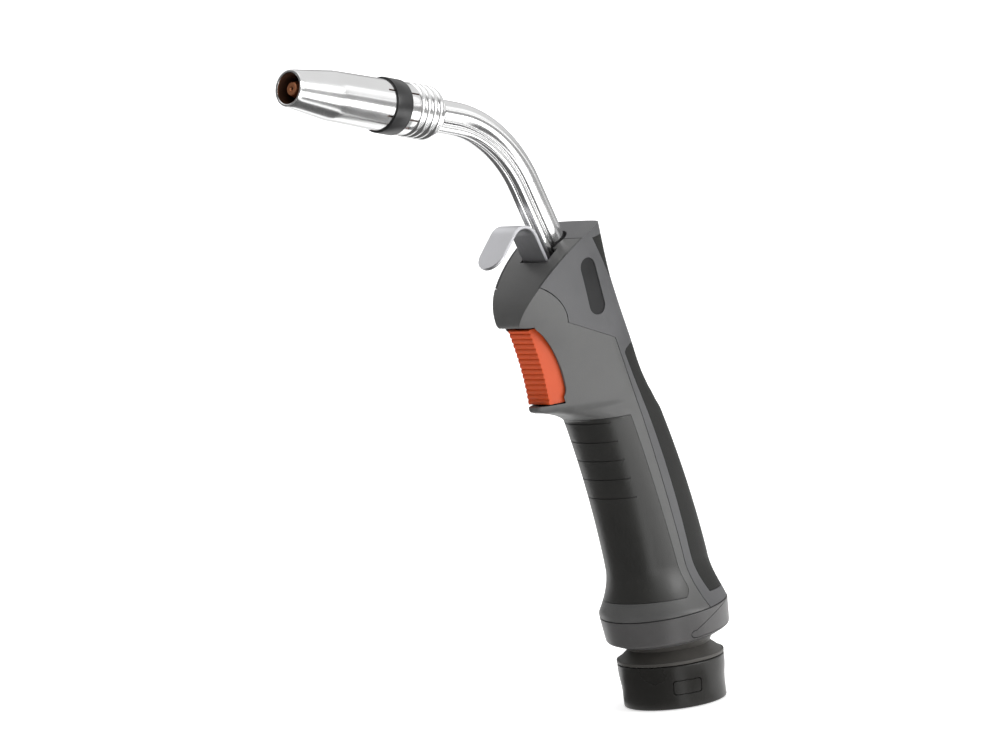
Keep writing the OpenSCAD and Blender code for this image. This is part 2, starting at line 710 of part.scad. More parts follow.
module shell_screws() color("#8a8a8e") for (z = screw_zs) for (side = [-1, 1])
    translate([seam_x(z), side * screw_y, z]) rotate([0, 90, 0]) {
        translate([0, 0, -screw_sink]) cylinder(r = screw_r - snug, h = screw_sink + screw_reach);
        translate([0, 0, -screw_sink - 1]) difference() {
            cylinder(r = screw_head_r - 0.1, h = 2);
            translate([0, 0, -1]) cylinder(r = 1.2, h = 2, $fn = 6);
        }
    }

// ---- trigger and switch ----

trigger_steps = [0, 0.05, 0.15, 0.3, 0.45, 0.6, 0.75, 0.9, 0.97];
trigger_line = concat(
    [for (t = trigger_steps) [face_x(t) - (t == 0 ? 1 : 0), trigger_z(t) + (t == 0 ? trigger_gap : 0)]],
    [[face_x(1) - 1, z_nose - trigger_gap], [pin_x - boss_r, z_nose - trigger_gap],
     [pin_x - boss_r - 0.4, z_nose - 5], [face_x(0.7) - trigger_body, trigger_z(0.7)],
     [face_x(0.2) - trigger_body, trigger_z(0.2)], [face_x(0.2) - trigger_body, z_trig + 1.4],
     [face_x(0.2) - trigger_body + 1, z_trig + trigger_gap]]);

// Space between the trigger's two sides, which spread behind the face
module between_sides(gap) {
    half = trigger_w / 2 + gap;
    wide = half + flare_w;
    translate([face_x(0.5), 0, trigger_z(0.5)]) rotate([0, face_lean, 0])
        linear_extrude(2 * far, center = true) polygon([
            [far, -half], [-flare_from, -half], [-flare_to, -wide], [-far, -wide],
            [-far, wide], [-flare_to, wide], [-flare_from, half], [far, half]]);
}

module trigger() color("#d8603a") difference() {
    intersection() {
        union() {
            plate(trigger_line);
            translate([nub_x, -2, nub_z - 1.2]) cube([6, 4, 2.4]);
        }
        between_sides(0);
    }
    // hollow behind the face
    plate(concat([for (t = [0.12, 0.3, 0.5, 0.7, 0.86]) [face_x(t) - trigger_skin, trigger_z(t)]],
        [[pin_x + boss_r, trigger_z(0.86)], [pin_x + boss_r, trigger_z(0.7)],
         [face_x(0.7) - hollow_depth, trigger_z(0.64)], [face_x(0.5) - hollow_depth, trigger_z(0.5)],
         [face_x(0.12) - hollow_depth, trigger_z(0.12)]]), trigger_w / 2 - 1.6);
    // the spring's seat, open to the rear
    translate([face_x(0.1) - trigger_body - 1, 0, spring_z]) rotate([0, 90, 0])
        cylinder(r = spring_pocket_r, h = 2.2);
    // grooves between the ribs of the face
    for (i = [1:rib_count - 1]) let (t = i / rib_count)
        translate([face_x(t) + 0.25, 0, trigger_z(t)]) rotate([90, 0, 0])
            cylinder(r = rib_groove_r, h = trigger_w + 2, center = true);
    translate([pin_x, 0, pin_z]) rotate([90, 0, 0])
        cylinder(r = pin_r + slide_fit, h = far, center = true);
}

module trigger_pin() color("silver") translate([pin_x, 0, pin_z]) rotate([90, 0, 0])
    cylinder(r = pin_r, h = pin_len - 0.2, center = true);

spring_front = face_x(0.1) - trigger_body + 1.1;
module trigger_spring() color("silver") {
    per_turn = 11;
    steps = spring_turns * per_turn;
    run = spring_front - spring_seat - 4 * spring_wire;
    wire([for (i = [0:steps]) let (a = 360 * i / per_turn)
        [spring_seat + 2 * spring_wire + run * i / steps, spring_r * cos(a),
         spring_z + spring_r * sin(a)]],
        spring_wire, [1, 0, 0]);
}

// Bracket that fills the cavity's width, with pockets for the switch and the spring
module switch_carrier() color("#4a4a48") difference() {
    intersection() {
        form(wall + snug, lip_i + 3, hood_i);
        union() {
            plate([[carrier_back, switch_low - carrier_rim],
                   [switch_front - 2.5, switch_low - carrier_rim],
                   [switch_front - 2.5, switch_low + switch_h + carrier_rim],
                   [carrier_back, switch_low + switch_h + carrier_rim]]);
            plate([[carrier_back, z_trig + 0.4], [spring_seat, z_trig + 0.4],
                   [spring_seat, switch_low - carrier_rim], [carrier_back, switch_low - carrier_rim]]);
        }
    }
    translate([switch_front - switch_d, -switch_w / 2, switch_low])
        cube([switch_d + 1, switch_w, switch_h]);
    translate([carrier_back - 3, -2.4, switch_low + 3]) cube([8, 4.8, switch_h - 6]);
    translate([spring_seat, 0, spring_z]) rotate([0, 90, 0]) cylinder(r = spring_pocket_r, h = far);
}

module switch_body() color("#202022") difference() {
    translate([switch_front - switch_d, -switch_w / 2 + 0.05, switch_low + 0.05])
        cube([switch_d, switch_w - 0.1, switch_h - 0.1]);
    for (z = [0.25, 0.75] * switch_h) translate([switch_front - 7, 0, switch_low + z]) rotate([90, 0, 0])
        cylinder(r = 1.2, h = far, center = true);
    translate([switch_front - 2.5, 0, plunger_z]) rotate([0, 90, 0]) cylinder(r = 1.06, h = 4);
}

module switch_plunger() color("#b03028") translate([switch_front - plunger_in, 0, plunger_z])
    rotate([0, 90, 0]) cylinder(r = 1, h = plunger_in + lever_x - switch_front - 0.4);

module switch_lever() color("silver") translate([lever_x, 0, lever_z]) {
    translate([0, -2, 0]) cube([lever_t, 4, lever_len]);
    translate([lever_t / 2, 0, 0]) rotate([90, 0, 0]) cylinder(r = 0.7, h = 4.6, center = true);
}

// Two leads, out of the switch's back, through the carrier's opening and down the handle
lead_hang = 24;                // height of the leads' lower ends above the handle's base
lead_low = base_z + lead_hang;
lead_top = switch_low + 6.5;
lead_r = 0.7;
module switch_leads() for (side = [-1, 1]) color(side > 0 ? "#a83228" : "#d8d8d4")
    wire(concat(
        [[switch_front - switch_d - 0.2, side * 1.3, lead_top],
         [carrier_back - 0.8, side * 1.3, lead_top]],
        [for (t = [0:0.1:1]) let (z = lerp(lead_top - 2, lead_low, t))
            [lerp(carrier_back - 2.2, axis_x(z) + 3, t), side * (1.3 + 4 * sin(180 * t)), z]]),
        lead_r, [0.3, 1, 0]);

// ---- neck ----

module bent_tube(r, bore, off, y, foot, reach) {
    module run(rr, extra) {
        at_bend() translate([neck_bend_r, y, 0]) rotate([90, 0, 180])
            rotate_extrude(angle = neck_bend) translate([neck_bend_r - off, 0]) circle(r = rr);
        at_foot() translate([off, y, foot - extra]) cylinder(r = rr, h = neck_straight - foot + extra);
        at_mouth() translate([off, y, 0]) cylinder(r = rr, h = reach + extra);
        // brazed joints at both ends of the bend
        at_bend() translate([off, y, -braze_len / 2]) cylinder(r = rr + braze_t, h = braze_len);
        at_mouth() translate([off, y, -braze_len / 2]) cylinder(r = rr + braze_t, h = braze_len);
    }
    difference() {
        run(r, 0);
        run(bore, 1);
    }
}

module neck_tube() color("#d4d6d8")
    bent_tube(neck_r, neck_bore_r, 0, 0, -tube_seat, seat_back + tube_in_seat);
module coolant_tube_left() color("#d0d2d4")
    bent_tube(coolant_r, coolant_r - coolant_wall, coolant_off, coolant_y, -tube_seat,
              seat_back + coolant_in_seat);
module coolant_tube_right() color("#d0d2d4")
    bent_tube(coolant_r, coolant_r - coolant_wall, coolant_off, -coolant_y, -tube_seat,
              seat_back + coolant_in_seat);
module wire_liner() color("#b8a070")
    bent_tube(neck_bore_r - 1.2, 1.1, liner_shift, 0, -tube_seat + 1, holder_back - 1);

module tube_bores(clear, foot) {
    cylinder(r = neck_r + clear, h = far);
    translate([0, 0, foot]) for (side = [-1, 1]) translate([coolant_off, side * coolant_y, 0])
        cylinder(r = coolant_r + clear, h = far);
}

module neck_clamp() color("#2c2c2c") difference() {
    intersection() {
        form(wall + snug, hood_i - 1, last_i);
        translate([-0.55 * wall - snug, 0, -0.9 * wall - snug]) plate(side_outline);
        at_foot() translate([-far, -far, clamp_low]) cube([far + hook_off + 3, 2 * far, clamp_h]);
    }
    at_foot() tube_bores(0, 0);
    at_foot() translate([hook_off - hook_t / 2, -hook_w / 2, 0]) cube([hook_t, hook_w, far]);
}

module block_body(grow = 0) at_foot()
    translate([-block_back - grow, -block_half - grow, -block_h - grow])
        cube([block_back + block_front + 2 * grow, 2 * (block_half + grow), block_h + 2 * grow]);

module neck_block() color("#c8a24a") difference() {
    block_body();
    at_foot() translate([0, 0, -tube_seat]) tube_bores(0, 0);
    at_foot() translate([liner_shift, 0, -far / 2]) cylinder(r = 1.4, h = far);
    at_stud() translate([0, 0, -far]) cylinder(r = stud_r, h = far + stud_grip);
    at_stud() pair() translate([barb_x, 0, -far]) cylinder(r = barb_r + 0.4, h = far + stud_grip);
}

module power_stud() color("#c09a50") at_stud() difference() {
    union() {
        translate([0, 0, -stud_len]) cylinder(r = stud_r - 0.9, h = stud_len - 5);
        translate([0, 0, -5]) cylinder(r = stud_r, h = 5 + stud_grip);
        translate([0, 0, -stud_len]) cylinder(r = stud_r, h = 7);
    }
    translate([0, 0, -far]) cylinder(r = 1.6, h = 2 * far);
}

module coolant_barbs() color("#c8a24a") at_stud() pair() translate([barb_x, 0, 0]) difference() {
    union() {
        translate([0, 0, -barb_len]) cylinder(r = barb_r, h = barb_len);
        translate([0, 0, -2]) cylinder(r = barb_r + 0.4, h = 2 + stud_grip);
        for (i = [0:2]) translate([0, 0, 3.2 * i - barb_len])
            cylinder(r1 = barb_r, r2 = barb_r + 0.5, h = 2.2);
    }
    translate([0, 0, -far]) cylinder(r = 1, h = 2 * far);
}

module hanger_hook() color("#c8c8cc") at_foot() {
    centre = [hook_off + hook_bend_r, 0, hook_leg_top];
    translate([hook_off - hook_t / 2, -hook_w / 2, hook_leg_low])
        cube([hook_t, hook_w, hook_leg_top - hook_leg_low]);
    // a short key inside the strip joins its leg to its bend
    translate([hook_off - hook_t / 2 + 0.05, 0.05 - hook_w / 2, hook_leg_top - 0.5])
        cube([hook_t - 0.1, hook_w - 0.1, 1]);
    translate(centre) rotate([90, 0, 0]) rotate([0, 0, 180 - hook_turn])
        translate([0, 0, -hook_w / 2]) rotate_extrude(angle = hook_turn)
            translate([hook_bend_r - hook_t / 2, 0]) square([hook_t, hook_w]);
    translate(centre) rotate([0, hook_turn, 0]) translate([-hook_bend_r, 0, 0]) intersection() {
        translate([-hook_t / 2, -hook_w / 2, 0]) cube([hook_t, hook_w, hook_tongue]);
        union() {
            translate([-far, -far, 0]) cube([2 * far, 2 * far, hook_tongue - hook_w / 2]);
            translate([0, 0, hook_tongue - hook_w / 2]) rotate([0, 90, 0])
                cylinder(r = hook_w / 2, h = far, center = true);
        }
    }
}

// ---- nozzle end ----

module nozzle_seat() color("#d4d6d8") at_nozzle() difference() {
    union() {
        translate([0, 0, seat_back]) cylinder(r1 = seat_tail_r, r2 = seat_r, h = seat_cone);
        translate([0, 0, ribs_back]) cylinder(r = seat_r, h = flange_front - ribs_back);
        for (i = [0:seat_ribs - 1]) translate([0, 0, flange_front - (i + 0.65) * rib_pitch])
            cylinder(r = rib_r, h = 0.65 * rib_pitch);
        translate([0, 0, flange_front]) cylinder(r = core_r, h = core_front - flange_front);
    }
    translate([-seat_shift, 0, 0]) {
        cylinder(r = neck_r, h = seat_back + tube_in_seat);
        for (side = [-1, 1]) translate([coolant_off, side * coolant_y, 0])
            cylinder(r = coolant_r, h = seat_back + coolant_in_seat);
    }
    cylinder(r = gas_bore_r, h = far);
    translate([0, 0, holder_back]) cylinder(r = holder_r, h = far);
    for (z = ring_zs) translate([0, 0, z]) ring_of(far, core_r - 1, groove_w);
}

module seat_rings() color("#7a2a20") at_nozzle() for (z = ring_zs) translate([0, 0, z + groove_w / 2])
    rotate_extrude() translate([core_r - 0.45, 0]) circle(r = 0.5);

module tip_holder() color("#b8863c") at_nozzle() difference() {
    union() {
        translate([0, 0, holder_back])
            cylinder(r = holder_r, h = holder_front - holder_back - holder_nose);
        translate([0, 0, core_front]) cylinder(r = holder_flange_r, h = 3);
        translate([0, 0, holder_front - holder_nose])
            cylinder(r = holder_nose_r, h = holder_nose);
    }
    translate([0, 0, tip_back]) cylinder(r = tip_shank_r, h = far);
    cylinder(r = 1.6, h = far);
}

module gas_diffuser() color("#e8e0cc") at_nozzle() difference() {
    translate([0, 0, core_front + 3]) ring_of(core_r - 1.2, holder_r, diffuser_front - core_front - 3);
    for (i = [0:7]) rotate([0, 0, 45 * i]) translate([0, 0, core_front + 5.5]) rotate([0, 90, 0])
        cylinder(r = 0.9, h = far);
}

module nozzle_insulator() color("#8a4a2a") at_nozzle() translate([0, 0, core_front])
    ring_of(core_r, core_r - 1, 4);

module contact_tip() color("#b86a42") at_nozzle() rotate_extrude() polygon([
    [wire_r, tip_back], [tip_shank_r, tip_back], [tip_shank_r, holder_front],
    [tip_r, holder_front], [tip_r, tip_front - 5], [tip_r - 1.4, tip_front], [wire_r, tip_front]]);

module gas_nozzle() color("#d8dadc") at_nozzle() difference() {
    translate([0, 0, nozzle_reach]) mirror([0, 0, 1]) rotate_extrude() difference() {
        polygon([[0, 0.3], [mouth_r - 0.3, 0], [mouth_r, 0.4], [shoulder_r, cone_len],
                 [nozzle_rear_r, nozzle_len - 0.4], [nozzle_rear_r - 0.4, nozzle_len],
                 [0, nozzle_len]]);
        polygon([[-1, -1], [mouth_bore_r, -1], [mouth_bore_r, 4], [shoulder_r - 1.6, cone_len + 2],
                 [nozzle_bore_r, cone_len + 6], [nozzle_bore_r, nozzle_len + 1], [-1, nozzle_len + 1]]);
        translate([band_seat_r, nozzle_reach - band_front]) square([far, band_w]);
        translate([-far, -1]) square([far, far * 2]);
    }
    for (i = [0:slot_count - 1]) rotate([0, 0, 360 * i / slot_count])
        translate([0, -slot_w / 2, nozzle_back - 1]) cube([far, slot_w, slot_len + 1]);
}

module nozzle_band() color("#1c1c1e") at_nozzle() translate([0, 0, band_front - band_w])
    ring_of(band_r, band_seat_r, band_w);

cable_collar();
cable_bush();
collar_latch();
knuckle_ball();
swivel_clip();
ball_liner();
ball_cup();
lock_ring();
ring_tail();
front_shell();
rear_shell();
front_grip();
rear_grip();
head_pad();
badge_plates();
shell_screws();
trigger();
trigger_pin();
trigger_spring();
switch_carrier();
switch_body();
switch_plunger();
switch_lever();
switch_leads();
neck_clamp();
neck_block();
neck_tube();
coolant_tube_left();
coolant_tube_right();
wire_liner();
power_stud();
coolant_barbs();
hanger_hook();
nozzle_seat();
seat_rings();
nozzle_insulator();
tip_holder();
gas_diffuser();
contact_tip();
gas_nozzle();
nozzle_band();
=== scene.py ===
# Looks of the water-cooled MIG torch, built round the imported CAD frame.
# Sizes are in millimetres and angles in degrees, except for the lamp and the camera, which are in metres.
import math

import bmesh
import bpy
import numpy as np
from mathutils import Matrix, Vector


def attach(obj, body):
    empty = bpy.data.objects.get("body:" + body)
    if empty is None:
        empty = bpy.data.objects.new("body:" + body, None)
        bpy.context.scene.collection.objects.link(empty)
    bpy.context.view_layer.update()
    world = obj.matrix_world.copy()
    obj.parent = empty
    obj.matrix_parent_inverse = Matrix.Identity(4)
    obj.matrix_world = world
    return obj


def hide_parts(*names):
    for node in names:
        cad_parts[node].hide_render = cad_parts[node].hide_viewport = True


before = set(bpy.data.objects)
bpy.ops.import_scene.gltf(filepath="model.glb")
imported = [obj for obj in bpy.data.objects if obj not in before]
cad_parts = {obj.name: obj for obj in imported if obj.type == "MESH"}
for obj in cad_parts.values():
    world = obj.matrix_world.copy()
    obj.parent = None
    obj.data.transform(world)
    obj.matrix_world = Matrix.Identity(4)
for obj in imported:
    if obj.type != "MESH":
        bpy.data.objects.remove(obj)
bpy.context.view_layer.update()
MM = 0.001               # a millimetre in Blender's metres
FAR = 200.0              # reach of a cutting solid past the torch

# ---- sizes of the part, the same as in its source ----
BALL_Z = 34.0            # height of the ball's centre
BASE_LEAN = 4.5          # lean of the handle's lower end
HANDLE_LEAN = 18.8       # lean of the handle's upper part
SEAM_S = 7.3             # handle's end plane, above the ball's centre
RING_R = 27.5            # lock ring's radius at the handle
RING_H = 11.3            # height of the ring's side
RING_TAPER = 1.0         # amount by which the ring narrows downwards
FREE_GAP = 0.3           # gap between pieces that move past each other
GRIP_LEN = 88.0
GRIP_DEPTH = 43.0
GRIP_WIDTH = 36.6
FLARE_LEN = 20.0         # length of the bell at the grip's lower end
LIP_H = 8.2              # height of the finger lip under the trigger
HOOD_H = 38.4            # height of the hood above the trigger
HEAD_WIDTH = 35.6
WALL = 3.2               # wall of the shells
PAD_T = 1.6              # thickness of the soft inlays
SEAM_BOW = 1.8           # forward bow of the seam along the grip

TRIGGER_LEN = 33.4
TRIGGER_W = 12.1
TRIGGER_REACH = 34.0     # reach of the trigger's face from the handle's axis
TRIGGER_GAP = 0.45       # gap round the trigger
TOE = 4.3                # forward sweep of the trigger's lower end
FLARE_W = 2.1            # amount by which each side of the trigger spreads behind its face
FLARE_FROM = 1.6         # depth behind the face at which the sides start to spread
FLARE_TO = 8.0           # depth at which they run parallel again
HOOD_GAP = 0.4           # gap between the trigger and the hood above it
WINDOW_DEPTH = 8.2       # depth of the side cut-out that shows the trigger
SLOT_DEPTH = 14.6        # depth of the slot that the pressed trigger needs

NECK_R = 4.9             # radius of the main neck tube
NECK_LEAN = 22.9         # lean of the neck where it leaves the head
NECK_BEND = 52.0         # angle of the neck's bend
NECK_BEND_R = 57.6       # radius of the bend
NECK_STRAIGHT = 54.8     # length of the neck's straight foot
TUBE_SEAT = 8.0          # length of the tubes below the neck's foot
COOLANT_R = 2.0          # radius of each coolant tube
COOLANT_Y = 2.1          # distance of the coolant tubes from the middle plane
BRAZE = 0.15             # gap between the tubes
COOLANT_OFF = math.sqrt((NECK_R + COOLANT_R + BRAZE) ** 2 - COOLANT_Y ** 2)
HOOK_W = 13.8            # width of the hook's strip
HOOK_T = 1.5             # thickness of the strip
HOOK_OFF = 13.6          # distance of the hook's leg from the neck's axis

NOZZLE_REACH = 91.3      # from the end of the neck's bend to the nozzle's mouth
NOZZLE_LEN = 63.0
MOUTH_R = 7.4            # outer radius at the nozzle's mouth
MOUTH_BORE_R = 6.2       # bore radius at the mouth
CONE_LEN = 22.0          # length of the nozzle's front cone
SHOULDER_R = 10.0        # outer radius behind the cone
NOZZLE_REAR_R = 10.8     # outer radius at the nozzle's rear end
SLOT_COUNT = 6           # slots in the nozzle's rear end
SLOT_W = 0.8             # width of a slot
SLOT_FROM = 46.0         # distance of the slots' front ends from the mouth
BAND_W = 8.5             # width of the insulating band
BAND_R = 11.35           # outer radius of the band
BAND_FRONT = 49.6        # distance of the band's front from the mouth
SEAT_SHIFT = 1.8         # offset of the nozzle's axis from the neck tube's
SEAT_LEN = 17.5          # length of the seat behind the nozzle
SEAT_TAIL_R = 7.4        # radius of the seat's rear end
SEAT_CONE = 3.8          # length of the cone from there to the ribs
SEAT_R = 10.3            # radius of the seat between its ribs
SEAT_RIBS = 4
RIB_R = 11.0             # radius of the ribs
CORE_R = SHOULDER_R - 0.4    # radius of the seat's core inside the nozzle
CORE_LEN = 18.5

base_x = SEAM_S * math.sin(math.radians(BASE_LEAN))
base_z = BALL_Z + SEAM_S * math.cos(math.radians(BASE_LEAN))
bend_h = GRIP_LEN - 2
slope_low = math.tan(math.radians(BASE_LEAN))
slope_high = math.tan(math.radians(HANDLE_LEAN))
z_lip = base_z + GRIP_LEN
z_trig = z_lip + LIP_H
z_nose = z_trig + TRIGGER_LEN
z_top = z_nose + HOOD_H
grip_end = z_lip - 2.3    # upper end of the grip's plain sections


# ---- the handle's form ----

def lerp(a, b, t):
    return a + (b - a) * t


def axis_x(z):
    """x of the handle's axis at height z: a parabola along the grip, straight above it."""
    g = np.minimum(np.asarray(z, float) - base_z, bend_h)
    bent = slope_low * g + (slope_high - slope_low) * g * g / (2 * bend_h)
    return base_x + bent + slope_high * np.maximum(0, np.asarray(z, float) - base_z - bend_h)


def grip_key(z):
    """The grip's section at height z: offset, depths behind and before, half width, taper, exponents."""
    along = (z - base_z) / GRIP_LEN
    flare = min(1.0, max(0.0, z - base_z) / FLARE_LEN)
    a = GRIP_DEPTH / 2 * lerp(1.045, 0.925, along)
    b = GRIP_WIDTH / 2
    bell_a, bell_b = (RING_R - a) * (1 - flare) ** 1.8, (RING_R - b) * (1 - flare) ** 1.8
    soft = flare ** 0.7
    return [0, a + soft * lerp(1.2, -0.5, along) + bell_a, a + bell_a, b + bell_b, 0,
            lerp(2, 2.85, soft), lerp(2, 2.3, soft)]


# Sections of the head: height, then the same values as in a grip key
HW = HEAD_WIDTH / 2
HEAD_KEYS = [
    (z_lip - 6, grip_key(z_lip - 6)),
    (grip_end, grip_key(grip_end)),
    (z_lip + 1.6, [0, 18.5, 27, HW + 0.4, 0.45, 2.8, 3.5]),
    (z_lip + 0.5 * LIP_H, [0.1, 18.2, 34.5, HW + 0.3, 0.72, 2.8, 6]),
    (z_lip + 0.7 * LIP_H, [0.2, 18, 41.5, HW + 0.3, 0.8, 2.8, 8]),
    (z_trig, [0.5, 17.7, 41.5, HW + 0.2, 0.79, 2.8, 8]),
    (z_trig + 0.25 * TRIGGER_LEN, [0.8, 17.3, 39.3, HW + 0.1, 0.775, 2.8, 8]),
    (z_trig + 0.65 * TRIGGER_LEN, [0.3, 17.5, 39.5, HW, 0.8, 2.9, 8]),
    (z_nose, [-0.5, 17.2, 42.5, HW - 0.1, 0.72, 2.9, 8]),
    (z_nose + 0.11 * HOOD_H, [-0.9, 17.1, 45.5, HW - 0.2, 0.71, 2.9, 8]),
    (z_nose + 0.46 * HOOD_H, [-1.7, 17.3, 46, HW - 0.4, 0.53, 3.1, 8]),
    (z_top + 3, [-6.9, 17.2, 42, HW - 0.9, 0.4, 3.2, 8]),
]


def head_key(z):
    """Smooth interpolation between the head's keys."""
    heights = [k[0] for k in HEAD_KEYS]
    rows = np.array([k[1] for k in HEAD_KEYS], float)
    last = len(rows) - 1
    i = min(max(np.searchsorted(heights, z, side="right") - 1, 0), last - 1)

    def slope(j):
        a, b = max(0, j - 1), min(last, j + 1)
        return (rows[b] - rows[a]) / (heights[b] - heights[a])
    d = heights[i + 1] - heights[i]
    t = (z - heights[i]) / d
    return ((2 * t ** 3 - 3 * t ** 2 + 1) * rows[i] + (t ** 3 - 2 * t ** 2 + t) * d * slope(i)
            + (3 * t ** 2 - 2 * t ** 3) * rows[i + 1] + (t ** 3 - t ** 2) * d * slope(i + 1))


def section(z, angles, inset):
    """Points of the handle's section at height z, drawn in by inset."""
    key = grip_key(z) if z <= grip_end else head_key(z)
    offset, behind, before, half, taper, n_back, n_front = key
    c, s = np.cos(angles), np.sin(angles)
    n = np.where(c > 0, n_front, n_back)
    m = (np.abs(c) ** n + np.abs(s) ** n) ** (-1 / n)
    u = c * m
    narrow = 1 - taper * np.maximum(0, u) ** 1.4
    inner = np.maximum(0.08, (half * narrow - inset) / (half - inset))
    x = axis_x(z) + offset + (np.where(c > 0, before, behind) - inset) * u
    return np.stack([x, (half - inset) * s * m * inner, np.full_like(x, z)], 1)


def loft(rings):
    """Vertices and faces of a closed skin through rings of points."""
    count, n = len(rings), len(rings[0])
    verts = np.concatenate(rings)
    faces = [(i * n + j, i * n + (j + 1) % n, (i + 1) * n + (j + 1) % n, (i + 1) * n + j)
             for i in range(count - 1) for j in range(n)]
    faces.append(tuple(range(n - 1, -1, -1)))
    faces.append(tuple((count - 1) * n + j for j in range(n)))
    return verts, faces


# ---- meshes ----

def make(name, verts, faces, matrix=None):
    """A new object from points in millimetres, with its normals outwards."""
    mesh = bpy.data.meshes.new(name)
    mesh.from_pydata([tuple(v) for v in np.asarray(verts, float) * MM], [], faces)
    obj = bpy.data.objects.new(name, mesh)
    bpy.context.scene.collection.objects.link(obj)
    if matrix is not None:
        mesh.transform(matrix)
    bm = bmesh.new()
    bm.from_mesh(mesh)
    bmesh.ops.remove_doubles(bm, verts=bm.verts, dist=1e-7)
    bmesh.ops.recalc_face_normals(bm, faces=bm.faces)
    bm.to_mesh(mesh)
    bm.free()
    return obj


def smooth(obj, angle=30):
    """Smooth shading, with edges sharper than the angle kept."""
    bm = bmesh.new()
    bm.from_mesh(obj.data)
    for face in bm.faces:
        face.smooth = True
    for edge in bm.edges:
        edge.smooth = len(edge.link_faces) == 2 and edge.calc_face_angle(0) < math.radians(angle)
    bm.to_mesh(obj.data)
    bm.free()


def applied(obj):
    """Gives the object the mesh that its modifiers make, and removes them."""
    graph = bpy.context.evaluated_depsgraph_get()
    mesh = bpy.data.meshes.new_from_object(obj.evaluated_get(graph))
    obj.modifiers.clear()
    obj.data = mesh


def combine(obj, other, operation, keep=False):
    """obj cut by, joined to or intersected with other."""
    step = obj.modifiers.new(operation, "BOOLEAN")
    step.operation, step.object, step.solver = operation, other, "MANIFOLD"
    applied(obj)
    if not keep:
        bpy.data.objects.remove(other)
    return obj


def rounded(obj, width):
    """Rounds the object's sharp edges."""
    step = obj.modifiers.new("round", "BEVEL")
    step.width = width * MM
    step.segments = 2
    step.limit_method = "ANGLE"
    step.angle_limit = math.radians(50)
    step.use_clamp_overlap = True


def circle(radius, height, steps):
    """Points of a circle round the local Z axis."""
    turn = [2 * math.pi * j / steps for j in range(steps)]
    return [(radius * math.cos(a), radius * math.sin(a), height) for a in turn]


def lathe(name, profile, matrix, steps=160):
    """A closed profile of (radius, height) points turned about the local Z axis."""
    verts = [point for r, s in profile for point in circle(r, s, steps)]
    faces = []
    for i in range(len(profile)):
        this, after = i * steps, (i + 1) % len(profile) * steps
        faces += [(this + j, this + (j + 1) % steps, after + (j + 1) % steps, after + j)
                  for j in range(steps)]
    return make(name, verts, faces, matrix)


def rod(name, radius, low, high, matrix, steps=96):
    """A round rod along the local Z axis, between two heights."""
    return make(name, *loft([circle(radius, s, steps) for s in (low, high)]), matrix)


def prism(name, bottom, top, matrix=None):
    """A solid between two outlines with as many points each."""
    n = len(bottom)
    faces = [(i, (i + 1) % n, n + (i + 1) % n, n + i) for i in range(n)]
    faces += [tuple(range(n)), tuple(range(2 * n - 1, n - 1, -1))]
    return make(name, [*bottom, *top], faces, matrix)


def plate(name, outline, half=FAR):
    """An outline in the XZ plane, as thick as 2 * half along Y."""
    right, left = ([(x, side * half, z) for x, z in outline] for side in (-1, 1))
    return prism(name, right, left)


def box_solid(name, low, high, matrix=None):
    """A box between two corners."""
    corners = [(x, y, z) for x in (low[0], high[0]) for y in (low[1], high[1]) for z in (low[2], high[2])]
    faces = [(0, 1, 3, 2), (4, 6, 7, 5), (0, 4, 5, 1), (2, 3, 7, 6), (0, 2, 6, 4), (1, 5, 7, 3)]
    return make(name, corners, faces, matrix)


def copy_of(obj, name):
    """A second object with a mesh of its own."""
    twin = obj.copy()
    twin.data = obj.data.copy()
    twin.name = name
    bpy.context.scene.collection.objects.link(twin)
    return twin


def placed(*steps):
    """A matrix from steps: numbers turn about Y in degrees, and triples move in millimetres."""
    result = Matrix.Identity(4)
    for step in steps:
        if isinstance(step, tuple):
            result = result @ Matrix.Translation(Vector(step) * MM)
        else:
            result = result @ Matrix.Rotation(math.radians(step), 4, "Y")
    return result


# ---- outlines of the handle's pieces, as points (x, z) ----

def trigger_z(t):
    """Height on the trigger, from its toe at t = 0 to its top at t = 1."""
    return z_trig + t * TRIGGER_LEN


def face_x(t):
    """x of the trigger's face."""
    return float(axis_x(trigger_z(t))) + TRIGGER_REACH + TOE * (1 - t) ** 2.2


def window_x(t):
    """x of the rear edge of the cut-out beside the trigger."""
    if t < 0.2:
        return face_x(t) - WINDOW_DEPTH * math.sqrt(max(0, 1 - ((0.2 - t) / 0.2) ** 2))
    return face_x(t) - WINDOW_DEPTH * max(0, 1 - ((t - 0.2) / 0.8) ** 2.4) ** 0.6


def bezier(a, b, c, d, t):
    return (1 - t) ** 3 * a + 3 * t * (1 - t) ** 2 * b + 3 * t * t * (1 - t) * c + t ** 3 * d


crest = np.array([float(axis_x(z_top)) - 18.4, z_top])              # hood's rear upper corner
nose = np.array([float(axis_x(z_nose)) + 39.3, z_nose + 2.4])       # hood's foremost point
hood_line = [bezier(nose, nose + [-0.4, 0.34 * HOOD_H], crest + [17, -5.3], crest, i / 40) for i in range(41)]
side_outline = [(-FAR, -FAR), (FAR, -FAR), (FAR, z_nose + HOOD_GAP), (face_x(1) + 0.6, z_nose + HOOD_GAP),
                nose + [-2, -1.6], nose + [-0.9, -1.35], nose + [-0.3, -0.7], *hood_line, (-FAR, z_top)]
window_line = [(FAR, z_trig), *[(window_x(t), trigger_z(t)) for t in np.linspace(0, 1, 60) ** 1.3],
               (FAR, z_nose + HOOD_GAP)]


def cavity_outline(gap=0.0):
    """The side outline moved back and down to the hood's inner face, and out again by gap."""
    return [(x - 0.55 * WALL + gap, z - 0.9 * WALL + gap) for x, z in side_outline]


